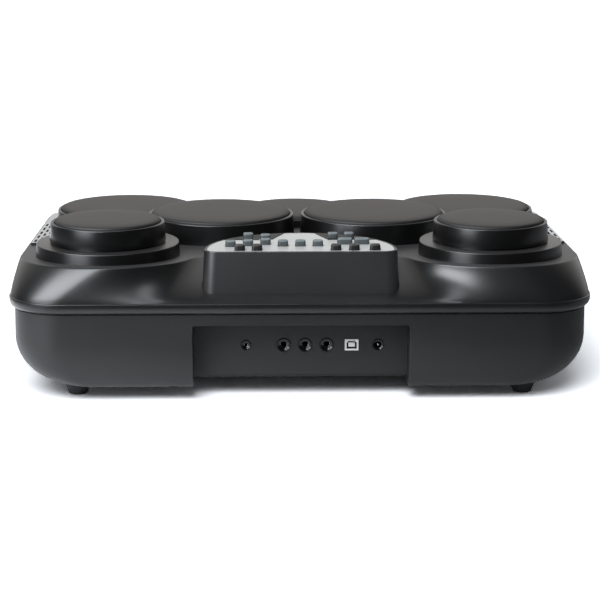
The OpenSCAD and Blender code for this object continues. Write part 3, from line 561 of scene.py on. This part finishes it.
def makeLowerShell():
    steps, wall = shells["baseSteps"], shells["wall"]
    levels = [shells["tubShare"] * (1 - math.cos(math.pi / 2 * k / steps)) for k in range(steps + 1)]
    outer = [baseRing(u, 0) for u in levels + [base["rimAt"]]]
    outer.append([(x, y, z + base["rimHigh"]) for x, y, z in outer[-1]])
    outer.append([(x, y, shells["parting"]) for x, y, z in baseRing(1, base["rimIn"])])
    obj = skinOver("lowerShell", outer)
    inner = [baseRing(u, wall) for u in levels]
    inner.append([(x, y, shells["parting"] + base["over"]) for x, y, z in baseRing(1, wall)])
    hollow = skinOver("hollow", inner)
    width, back = base["recessWidth"], base["recessBack"]
    below, reach, top = base["below"], base["reach"], base["recessTop"]
    long, deep, high = base["pocket"]
    over = 2 * wall
    cutAway(hollow, block(0, back - wall + reach / 2, below, width + over, reach, top + wall - below),
            block(0, base["under"] - wall + reach / 2, below, width + over, reach, base["panelLow"] - below),
            block(0, base["pocketY"], below, long + over, deep + over, base["doorTop"] + high + wall - below),
            *[tallDrum(side * x, y, base["postR"], below, base["postTop"])
              for x, y in base["screws"] for side in (-1, 1)])
    cutAway(obj, hollow)
    # the recess, with soft upper corners
    recess = block(0, back + reach / 2, below, width, reach, top - below)
    openUp(recess)
    pick(recess, "EDGE", lambda e: middleOf(e).z > 0.06 and abs(middleOf(e).x) > 0.09)
    bpy.ops.mesh.bevel(offset=base["recessRound"] * mm, segments=5, affect="EDGES")
    letGo()
    cutAway(obj, recess)
    cutAway(obj, block(0, base["under"] + reach / 2, below, width, reach, base["panelLow"] - wall - below))
    low, rebate = base["panelLow"] + base["flange"], 2 * base["flange"]
    cutAway(obj, block(0, back - base["openingAt"], low, width - rebate, base["openingDeep"],
                       top - base["panelLow"] - rebate))
    cutAway(obj, block(0, base["pocketY"], below, long, deep, base["doorTop"] + high - below))
    cutAway(obj, block(0, base["pocketY"], below, *base["door"], base["doorTop"] - below))
    for x, y in base["screws"]:
        for side in (-1, 1):
            cutAway(obj, tallDrum(side * x, y, base["headR"], below, base["headTop"]))
    for side in (-1, 1):
        notch = tallDrum(0, 0, base["notchR"], 0, base["notchLong"])
        faceBack(notch, side * base["notchX"], base["notchY"],
                 shells["bottom"] - base["notchR"] + base["notchHigh"])
        cutAway(obj, notch)
    # soft edge where the recess meets the back
    openUp(obj)
    half = width / 2 * mm

    def onRecessEdge(e):
        p, q = e.verts[0].co, e.verts[1].co
        onSide = all(abs(abs(v.x) - half) < hair and v.z < top * mm for v in (p, q))
        onTop = all(abs(v.z - top * mm) < hair and abs(v.x) < half for v in (p, q))
        return (onSide or onTop) and min(p.y, q.y) > 0.2 and e.calc_face_angle(0) > 0.6

    print("recess edges:", pick(obj, "EDGE", onRecessEdge))
    bpy.ops.mesh.bevel(offset=base["edgeRound"] * mm, segments=3, affect="EDGES")
    letGo()
    return finishPiece(obj, "lowerShell", "kit", ["lower_shell"], baseCharcoal, 28)


makeUpperShell()
makeLowerShell()
print("shells made")


# pads: rubber head on a plate, a rim that stands on the deck, and a bucket that holds the foam
def cutAtDeck(obj):
    openUp(obj)
    bpy.ops.mesh.select_all(action="SELECT")
    bpy.ops.mesh.bisect(plane_co=(0, 0, deckZ(0) * mm), plane_no=deckUp, clear_inner=True, use_fill=True)
    letGo()


padLook = {"edge": 2.2, "crown": 0.4, "fall": 1.1, "rimEdge": 1.1, "rimFlare": 1.2, "rimUnder": 20,
           "grooveHigh": 1.6, "grooveDeep": 1.6, "grooveRound": 0.5,
           "collar": 68.5, "collarHigh": 10, "collarSeat": 40.6, "collarFlare": 0.9, "collarFoot": 90,
           "faces": 128, "hiddenFaces": 64}
# the head towards its edge: distance from the edge, share of the crown and share of the fall
headSteps = [(14, 0.6, 0), (10, 1, 0.1), (6, 1, 0.45)]
collarTop = deckZ(shells["lobeY"] + padLook["collar"]) + padLook["collarHigh"]


def makePad(name):
    x, y, r, top = pads[name]
    e, low = padLook["edge"], top - padFit["rubber"]
    crown, fall = padLook["crown"], padLook["fall"]
    # nearly flat, then falling towards the edge
    profile = [(0, top), (r * 0.4, top - crown * 0.16)]
    profile += [(r - away, top - crown * crowned - fall * fallen) for away, crowned, fallen in headSteps]
    profile += roundEdge(r - e, top - crown - fall - e, e, 78, 0, 7)
    profile += [(r, low + 0.5), (r - 0.5, low), (0, low)]
    obj = turnedPiece(profile, padLook["faces"])
    moveAll(obj, x, y, 0)
    finishPiece(obj, "pad_" + name, name + "_pad", ["pad_" + name], padRubber, 40)


def makeRim(name):
    x, y, r, top = pads[name]
    rear = name.startswith("rear")
    out, inner = r + padFit["gap"] + padFit["rim"], r + padFit["gap"]
    rimTop, e = top - padFit["proud"], padLook["rimEdge"]
    seat = top - padFit["rubber"] - padFit["travel"] - padFit["stop"]
    plateStop = top - padFit["rubber"] - padFit["plate"] - padFit["travel"] - padFit["stop"]
    shelf = top - padFit["rubber"] - padFit["plate"] - padFit["foam"]
    bucket, foamOut = out - padFit["step"] - padFit["bucketGap"], r - padFit["foamIn"] + padFit["foamGap"]
    foamIn = r - padFit["foamIn"] - padFit["foamWide"]
    low = collarTop if rear else shelf - padFit["shelf"]
    foot = low if rear else deckZ(y) - padLook["rimUnder"]
    wall = [(bucket, seat), (inner, seat)]
    wall += roundEdge(inner + e * 0.7, rimTop - e * 0.7, e * 0.7, 180, 90)
    wall += roundEdge(out - e, rimTop - e, e, 90, 0)
    flare = out + padLook["rimFlare"]
    if rear:
        g, d, soft = padLook["grooveHigh"], padLook["grooveDeep"], padLook["grooveRound"]
        wall += roundEdge(flare - soft, low + g + soft, soft, 0, -90, 3)
        wall += [(out - d, low + g), (out - d, foot)]
    else:
        wall += [(flare, deckZ(y)), (flare, foot)]
    wall += [(bucket, foot), (bucket, seat)]
    plateOut = r - padFit["plateIn"] + padFit["plateGap"]
    cup = [(bucket, seat), (bucket, low), (foamIn, low), (foamIn, shelf), (foamOut, shelf),
           (foamOut, plateStop), (plateOut, plateStop), (plateOut, seat), (bucket, seat)]
    ring = turnedPiece(wall, padLook["faces"])
    moveAll(ring, x, y, 0)
    if not rear:
        cutAtDeck(ring)
    inside = turnedPiece(cup, padLook["hiddenFaces"])
    moveAll(inside, x, y, 0)
    group = name.split("_")[0] + "_pad_rims"
    finishPiece(joined(ring, inside), "rim_" + name, "kit", [group], rimBlack, 35)


def makeFoam(name):
    x, y, r, top = pads[name]
    out = r - padFit["foamIn"] - padFit["foamSlack"]
    inner = out - padFit["foamWide"] + 2 * padFit["foamSlack"]
    high = top - padFit["rubber"] - padFit["plate"]
    low = high - padFit["foam"]
    e = padFit["foamRound"]
    profile = roundEdge(out - e, high - e, e, 90, 0, 3) + roundEdge(out - e, low + e, e, 0, -90, 3)
    profile += roundEdge(inner + e, low + e, e, 270, 180, 3) + roundEdge(inner + e, high - e, e, 180, 90, 3)
    obj = turnedPiece(profile + [profile[0]], padLook["hiddenFaces"])
    moveAll(obj, x, y, 0)
    finishPiece(obj, "foam_" + name, "kit", ["pad_foam_rings"], padFoam)
    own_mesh(obj)


def makeCollar(side):
    x, y, e = side * shells["lobeX"], shells["lobeY"], padLook["rimEdge"]
    r, hole = padLook["collar"], padLook["collarSeat"]
    flare, foot = r + padLook["collarFlare"], padLook["collarFoot"]
    profile = [(hole, foot), (hole, collarTop)] + roundEdge(r - e, collarTop - e, e, 90, 0)
    profile += [(flare, deckZ(y)), (flare, foot), (hole, foot)]
    obj = turnedPiece(profile, padLook["faces"])
    moveAll(obj, x, y, 0)
    cutAtDeck(obj)
    finishPiece(obj, "collar_left" if side < 0 else "collar_right", "kit", ["rear_pad_collars"],
                rimBlack, 35)


for padName in pads:
    makePad(padName)
    makeRim(padName)
    makeFoam(padName)
for side in (-1, 1):
    makeCollar(side)
print("pads made")


# console pod: the outline drawn down with its draft, and a seat for the plate sunk into the top
def makeConsole():
    top, foot, back = console["top"], console["foot"], console["back"]
    obj = podOutline(0, top)
    openUp(obj)
    bpy.ops.mesh.select_all(action="SELECT")
    bpy.ops.mesh.edge_face_add()
    bpy.ops.mesh.extrude_region_move(TRANSFORM_OT_translate={"value": (0, 0, (foot - top) * mm)})
    wide = 1 + console["draft"] / console["halfWidth"]
    long = 1 + 2 * console["draft"] / console["length"]
    bpy.ops.transform.resize(value=(wide, long, 1),
                             center_override=(0, (back - console["length"] / 2) * mm, foot * mm))
    bpy.ops.mesh.select_all(action="SELECT")
    bpy.ops.mesh.normals_make_consistent(inside=False)
    pick(obj, "FACE", facesUp)
    bpy.ops.mesh.inset(thickness=console["wall"] * mm)
    bpy.ops.mesh.extrude_region_move(TRANSFORM_OT_translate={"value": (0, 0, (console["seat"] - top) * mm)})
    bpy.ops.mesh.select_all(action="SELECT")
    bpy.ops.mesh.normals_make_consistent(inside=False)
    # round the wall's two upper edges
    pick(obj, "EDGE", lambda e: all(v.co.z > (top - 0.01) * mm for v in e.verts)
         and e.calc_face_angle(0) > 0.5)
    bpy.ops.mesh.bevel(offset=console["edge"] * mm, segments=3, affect="EDGES")
    letGo()
    finishPiece(obj, "consoleHousing", "kit", ["console_housing"], podBlack, 32)


# buttons as column in pitches and distance from the pod's back edge
buttons = {
    "width": 10, "wide": 14.4, "depth": 8.4, "corner": 2.4, "high": 5.6, "flange": 0.7, "pitch": 16.4,
    "low": 3.8, "base": 1.6, "sunk": 2.2, "narrower": 0.5, "edge": 1.7, "dishIn": 0.9, "dish": 0.12,
    "black": [(3.46, 9), (2.48, 9), (-2, 9), (-3.04, 9), (-4.22, 9)],
    "grey": [(4, 28), (3, 31.5), (2, 37), (1, 29.5), (0, 29.5), (-1, 29.5),
             (3, 65), (2, 59), (-1.92, 66), (-2.86, 67)],
    "wideGrey": [(-2.56, 38), (-3.54, 38)]}
# the mat under them, as depths below the console's top
keypad = {"top": 6.8, "bottom": 8.3, "domeFoot": 8, "inset": 2.9, "edge": 0.4}


def makeButton(width):
    flange = buttons["flange"]
    low, rise = console["top"] - buttons["low"], buttons["high"] + buttons["sunk"]
    obj = roundSlab(width + 2 * flange, buttons["depth"] + 2 * flange, buttons["corner"] + flange,
                    buttons["base"])
    openUp(obj)
    pick(obj, "FACE", facesUp)
    bpy.ops.mesh.inset(thickness=flange * mm)
    bpy.ops.mesh.extrude_region_move(TRANSFORM_OT_translate={"value": (0, 0, rise * mm)})
    pick(obj, "FACE", lambda f: facesUp(f) and middleOf(f).z > 0.005)
    slim = buttons["narrower"]
    bpy.ops.transform.resize(value=(1 - slim / width, 1 - slim / buttons["depth"], 1),
                             center_override=(0, 0, 0))
    bpy.ops.mesh.region_to_loop()
    bpy.ops.mesh.bevel(offset=buttons["edge"] * mm, segments=5, affect="EDGES")
    # a slight dish in the top
    pick(obj, "FACE", lambda f: f.normal.z > 0.99 and middleOf(f).z > 0.005)
    bpy.ops.mesh.inset(thickness=buttons["dishIn"] * mm)
    bpy.ops.transform.translate(value=(0, 0, -buttons["dish"] * mm))
    letGo()
    moveAll(obj, 0, 0, low)
    return obj


def makeDome():
    low = console["top"] - keypad["top"]
    return turnedPiece([(0, low - 1.2), (3.4, low - 1.2), (3.2, low + 0.4), (2.9, low + 1.4)]
                       + roundEdge(1.9, low + 2.3, 0.7, 0, 90, 3) + [(0, low + 3)], 32)


def makeKeypad():
    models = {"black": makeButton(buttons["width"]), "wideGrey": makeButton(buttons["wide"])}
    models["grey"] = models["black"]
    dome = makeDome()
    labels = {"black": "black_button_", "grey": "grey_button_", "wideGrey": "wide_button_"}
    for kind in ("black", "grey", "wideGrey"):
        for i, (column, away) in enumerate(buttons[kind]):
            name = labels[kind] + str(i + 1)
            x, y = column * buttons["pitch"], console["back"] - away
            cap = copyOf(models[kind])
            moveAll(cap, x, y, 0)
            dark = kind == "black"
            finishPiece(cap, "cap_" + name, name, [name],
                        blackButton if dark else greyButton, 35)
            bump = copyOf(dome)
            moveAll(bump, x, y, 0)
            finishPiece(bump, "dome_" + name, "kit", ["keypad_mat"], siliconeMat)
            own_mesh(bump)
    for spare in (models["black"], models["wideGrey"], dome):
        bpy.data.objects.remove(spare, do_unlink=True)
    mat = podBlock(-keypad["inset"], console["top"] - keypad["bottom"], console["top"] - keypad["top"])
    openUp(mat)
    pick(mat, "EDGE", lambda e: e.calc_face_angle(0) > 1.2)
    bpy.ops.mesh.bevel(offset=keypad["edge"] * mm, segments=2, affect="EDGES")
    letGo()
    finishPiece(mat, "keypadSheet", "kit", ["keypad_mat"], siliconeMat)


makeConsole()
makeKeypad()
print("console made")


# sockets, turned facing up and then laid to face the back
sockets = {"panel": 183.5, "height": 50, "proud": 0.8,
           "large": [15.9, -4.2, -24.4], "small": 51.4, "usb": -48.1, "power": -73.1,
           # barrels as radius, bore, depth and dish; liners as bore, start, end and thickness
           "largeBarrel": (6.6, 3.25, 22, 1.5), "largeLiner": (3.25, -4, -8, 0.3),
           "smallBarrel": (4.8, 1.8, 14, 1.3), "smallLiner": (1.8, -0.6, -4, 0.15),
           "powerBarrel": (5.6, 3.1, 10, 1.2), "pin": [(0, -10), (1, -10), (1, -1.4)], "floor": 2, "lap": 0.02}


def makeBarrel(r, bore, depth, dish):
    proud = sockets["proud"]
    profile = [(0, -depth), (bore, -depth)] + roundEdge(bore + 0.3, proud - dish - 0.3, 0.3, 180, 110, 3)
    profile += roundEdge(r - 0.6, proud - 0.4, 0.4, 120, 0, 5)
    return turnedPiece(profile + [(r, -depth - sockets["floor"]), (0, -depth - sockets["floor"])], 64)


def makeLiner(bore, start, end, thick):
    out, e = bore + sockets["lap"], 0.15
    return turnedPiece([(out, start), (bore - thick * 0.4, start)]
                       + roundEdge(bore - thick + e, start - e, e, 90, 180, 2)
                       + [(bore - thick, end), (out, end), (out, start)], 48)


def makeSockets():
    face, z = sockets["panel"], sockets["height"]
    rings, liners = [], []
    for x in sockets["large"]:
        ring, liner = makeBarrel(*sockets["largeBarrel"]), makeLiner(*sockets["largeLiner"])
        faceBack(ring, x, face, z)
        faceBack(liner, x, face, z)
        rings.append(ring)
        liners.append(liner)
    finishPiece(joined(*rings), "quarterInchSockets", "kit", ["quarter_inch_sockets"],
                socketBlack)
    small, tip = makeBarrel(*sockets["smallBarrel"]), makeLiner(*sockets["smallLiner"])
    faceBack(small, sockets["small"], face, z)
    faceBack(tip, sockets["small"], face, z)
    finishPiece(small, "auxSocket", "kit", ["aux_socket"], socketBlack)
    power = makeBarrel(*sockets["powerBarrel"])
    pin = turnedPiece(sockets["pin"] + roundEdge(0.4, -1.4, 0.6, 0, 90, 3) + [(0, -0.8)], 32)
    faceBack(power, sockets["power"], face, z)
    faceBack(pin, sockets["power"], face, z)
    finishPiece(power, "powerSocket", "kit", ["power_socket"], socketBlack)
    finishPiece(joined(*liners, tip, pin), "socketContacts", "kit", [], nickel)


# the USB socket: slabs as width, depth, corner and height, wells as width, depth and height
usb = {"body": (13, 10.8, 0.5, 12), "bodyLow": -11.4, "edge": 0.3, "chamfer": 1.9,
       "well": (9.6, 7.6, 12), "wellLow": -9, "liner": (9.5, 7.5, 8.4), "shadeLinerLow": -8.9,
       "shadeLinerWall": 0.35, "shadeLinerDeep": 7.8, "tongue": (6.2, 4, 0.3, 8.4), "tongueAt": (0, 0.1, -8.3)}


# a block whose two upper corners are cut off, as on the plug
def usbWell(low, size):
    obj = block(0, 0, low, *size)
    openUp(obj)
    pick(obj, "EDGE", lambda e: all(v.co.y > size[1] * 0.4 * mm for v in e.verts)
         and abs(e.verts[0].co.z - e.verts[1].co.z) > mm)
    bpy.ops.mesh.bevel(offset=usb["chamfer"] * mm, segments=1, affect="EDGES")
    letGo()
    return obj


def makeUsb():
    body = roundSlab(*usb["body"])
    moveAll(body, 0, 0, usb["bodyLow"])
    cutAway(body, usbWell(usb["wellLow"], usb["well"]))
    openUp(body)
    pick(body, "EDGE", lambda e: all(v.co.z > 0.5 * mm for v in e.verts) and e.calc_face_angle(0) > 0.5)
    bpy.ops.mesh.bevel(offset=usb["edge"] * mm, segments=2, affect="EDGES")
    letGo()
    # painted shade: a dark liner in the cavity, open to the back, stands in for the shade inside it
    liner = usbWell(usb["shadeLinerLow"], usb["liner"])
    openUp(liner)
    pick(liner, "FACE", facesUp)
    bpy.ops.mesh.inset(thickness=usb["shadeLinerWall"] * mm)
    bpy.ops.mesh.extrude_region_move(TRANSFORM_OT_translate={"value": (0, 0, -usb["shadeLinerDeep"] * mm)})
    letGo()
    tongue = roundSlab(*usb["tongue"])
    openUp(tongue)
    pick(tongue, "FACE", facesUp)
    bpy.ops.mesh.region_to_loop()
    bpy.ops.mesh.bevel(offset=usb["edge"] * mm, segments=2, affect="EDGES")
    letGo()
    moveAll(tongue, *usb["tongueAt"])
    for piece in (body, liner, tongue):
        faceBack(piece, sockets["usb"], sockets["panel"], sockets["height"])
    finishPiece(joined(body, tongue), "usbSocket", "kit", ["usb_socket"], socketWhite)
    finishPiece(liner, "usbCavityShade", "kit", [], paintedShadeBlack)


feetFit = {"x": 212, "y": 166, "top": 14, "bottom": 9, "high": 16}


def makeFeet():
    profile = [(0, 0), (feetFit["bottom"] - 1.2, 0)] + roundEdge(feetFit["bottom"] - 1, 1, 1, -90, -10, 4)
    profile += [(feetFit["top"] - 0.4, feetFit["high"] - 2.6), (feetFit["top"], feetFit["high"] - 2.2),
                (feetFit["top"], feetFit["high"]), (0, feetFit["high"])]
    model = turnedPiece(profile, 64)
    feet = []
    for sx in (-1, 1):
        for sy in (-1, 1):
            feet.append(copyOf(model))
            moveAll(feet[-1], sx * feetFit["x"], sy * feetFit["y"], 0)
    bpy.data.objects.remove(model, do_unlink=True)
    finishPiece(joined(*feet), "feet", "kit", ["feet"], footRubber)


makeSockets()
makeUsb()
makeFeet()
print("sockets and feet made")

# nodes that are kept from the solid model get their finish
keptNodes = {
    "jack_panel": panelCharcoal, "console_faceplate": silverPaint, "faceplate_inlays": inlayBlack,
    "console_board": boardGreen, "main_board": boardGreen, "left_speaker": speakerFrame,
    "right_speaker": speakerFrame, "left_grille": grilleSilver, "right_grille": grilleSilver,
    "battery_cells": cellSleeve, "battery_contacts": nickel, "battery_door": baseCharcoal,
    "case_screws": screwSteel}
keptNodes.update({"plate_" + name: padSteel for name in pads})
for nodeName, finish in keptNodes.items():
    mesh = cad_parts[nodeName].data
    mesh.materials.clear()
    mesh.materials.append(finish)
print("kept nodes finished:", len(keptNodes))


studio = {
    "dome": 0.28, "backWall": 1.0, "dim": 0.05, "wallFade": (-0.9, -0.3), "roomTint": (1, 0.975, 0.95),
    "floor": 0.8, "floorWhite": 1.8, "floorSize": 60,
    "floorNear": 2.0, "floorFar": 0.1, "nearFade": (0.28, 0.5),
    "floorRight": 0.2, "floorLeft": 1.45, "sideFade": (-0.4, 0.4),
    "floorEnd": 0.08, "endFade": (0.5, 0.8),
    "sun": 2.4, "sunRise": 45, "sunTurn": 15, "sunWide": 35,
    "tint": (0.92, 0.955, 1), "lampAim": (0, 0.05, 0.06), "lamps": [
        # name, place, width and length, radiance
        ("leftSoftbox", (0.97, 0.93, 1.34), (1.5, 1.0), 14),
        ("leftFill", (1.4, 1.4, 0.45), (1.0, 0.7), 8),
        ("topPanel", (-0.08, 0.55, 1.71), (0.7, 0.5), 5)]}


# a level that changes from the first to the second one between two places
def ramp(tree, source, places, levels, kind="LINEAR"):
    node = tree.nodes.new("ShaderNodeMapRange")
    node.interpolation_type = kind
    for label, value in zip(("From Min", "From Max", "To Min", "To Max"), places + levels):
        node.inputs[label].default_value = value
    tree.links.new(source, node.inputs["Value"])
    return node.outputs["Result"]


def times(tree, one, other):
    node = tree.nodes.new("ShaderNodeMath")
    node.operation = "MULTIPLY"
    tree.links.new(one, node.inputs[0])
    tree.links.new(other, node.inputs[1])
    return node.outputs["Value"]


def mixed(tree, factor, one, other):
    node = tree.nodes.new("ShaderNodeMixShader")
    for socket, source in zip(node.inputs, (factor, one, other)):
        tree.links.new(source, socket)
    return node.outputs["Shader"]


# where a point lies, as three values
def placeIn(tree, space):
    place = tree.nodes.new("ShaderNodeTexCoord")
    split = tree.nodes.new("ShaderNodeSeparateXYZ")
    tree.links.new(place.outputs[space], split.inputs["Vector"])
    return split.outputs


def makeFloor():
    letGo()
    bpy.ops.mesh.primitive_plane_add(size=studio["floorSize"], location=(0, 0, 0))
    floor = bpy.context.object
    floor.name = "floor"
    material = bpy.data.materials.new("paleFloor")
    material.use_nodes = True
    tree = material.node_tree
    nodes, links = tree.nodes, tree.links
    nodes.remove(nodes["Principled BSDF"])
    plain = nodes.new("ShaderNodeBsdfDiffuse")
    plain.inputs["Color"].default_value = (studio["floor"],) * 3 + (1,)
    white = nodes.new("ShaderNodeBsdfDiffuse")
    white.inputs["Color"].default_value = (studio["floorWhite"],) * 3 + (1,)
    # painted light: what glossy rays see of the floor is a pool of light, bright under and behind the kit and
    # towards +X, dim towards the camera and at the sides
    at = placeIn(tree, "Object")
    near = ramp(tree, at["Y"], studio["nearFade"], (studio["floorNear"], studio["floorFar"]), "SMOOTHSTEP")
    across = ramp(tree, at["X"], studio["sideFade"], (studio["floorRight"], studio["floorLeft"]))
    ends = ramp(tree, at["X"], studio["endFade"], (1, studio["floorEnd"]))
    paintedLightPool = nodes.new("ShaderNodeBsdfDiffuse")
    links.new(times(tree, near, times(tree, across, ends)), paintedLightPool.inputs["Color"])
    path = nodes.new("ShaderNodeLightPath")
    sheen = mixed(tree, path.outputs["Is Glossy Ray"], plain.outputs["BSDF"], paintedLightPool.outputs["BSDF"])
    seen = mixed(tree, path.outputs["Is Camera Ray"], sheen, white.outputs["BSDF"])
    links.new(seen, nodes["Material Output"].inputs["Surface"])
    floor.data.materials.append(material)


def makeRoom():
    world = bpy.data.worlds.new("studio")
    bpy.context.scene.world = world
    world.use_nodes = True
    tree = world.node_tree
    nodes, links = tree.nodes, tree.links
    dome = nodes["Background"]
    dome.inputs["Color"].default_value = (*studio["tint"], 1)
    dome.inputs["Strength"].default_value = studio["dome"]
    wall = ramp(tree, placeIn(tree, "Generated")["Y"], studio["wallFade"],
                (studio["backWall"], studio["dim"]), "SMOOTHSTEP")
    room = nodes.new("ShaderNodeBackground")
    room.inputs["Color"].default_value = (*studio["roomTint"], 1)
    links.new(wall, room.inputs["Strength"])
    white = nodes.new("ShaderNodeBackground")
    white.inputs["Strength"].default_value = 1
    path = nodes.new("ShaderNodeLightPath")
    shine = mixed(tree, path.outputs["Is Glossy Ray"], dome.outputs["Background"], room.outputs["Background"])
    seen = mixed(tree, path.outputs["Is Camera Ray"], shine, white.outputs["Background"])
    links.new(seen, nodes["World Output"].inputs["Surface"])


def wayTo(rise, turn):
    rise, turn = math.radians(rise), math.radians(turn)
    return Vector((math.sin(turn) * math.cos(rise), math.cos(turn) * math.cos(rise), math.sin(rise)))


# puts a lamp or a camera into the scene, looking along a way
def setUp(name, data, way):
    obj = bpy.data.objects.new(name, data)
    bpy.context.collection.objects.link(obj)
    obj.rotation_euler = way.to_track_quat("-Z", "Y").to_euler()
    return obj


def makeLamps():
    sun = bpy.data.lights.new("sun", "SUN")
    sun.energy = studio["sun"]
    sun.angle = math.radians(studio["sunWide"])
    sun.color = studio["tint"]
    setUp("sun", sun, -wayTo(studio["sunRise"], studio["sunTurn"])).visible_glossy = False
    for name, place, size, radiance in studio["lamps"]:
        lamp = bpy.data.lights.new(name, "AREA")
        lamp.shape = "RECTANGLE"
        lamp.size, lamp.size_y = size
        lamp.energy = radiance * math.pi * size[0] * size[1]
        lamp.color = studio["tint"]
        obj = setUp(name, lamp, Vector(studio["lampAim"]) - Vector(place))
        obj.location = place
        obj.visible_diffuse = False


camera = {"target": (0, 0.015, 0.086), "distance": 2.11, "rise": 11.9, "turn": 1.02, "lens": 124.26,
          "sensor": 36, "shiftX": 0.0042, "shiftY": -0.0487, "clip": 200}


def makeCamera():
    lens = bpy.data.cameras.new("photoCamera")
    lens.lens = camera["lens"]
    lens.sensor_width = camera["sensor"]
    lens.shift_x = camera["shiftX"]
    lens.shift_y = camera["shiftY"]
    lens.clip_end = camera["clip"]
    away = wayTo(camera["rise"], camera["turn"])
    obj = setUp("photoCamera", lens, -away)
    obj.location = Vector(camera["target"]) + camera["distance"] * away
    bpy.context.scene.camera = obj


makeFloor()
makeRoom()
makeLamps()
makeCamera()
bpy.context.scene.view_settings.view_transform = "Standard"
print("studio and camera set")
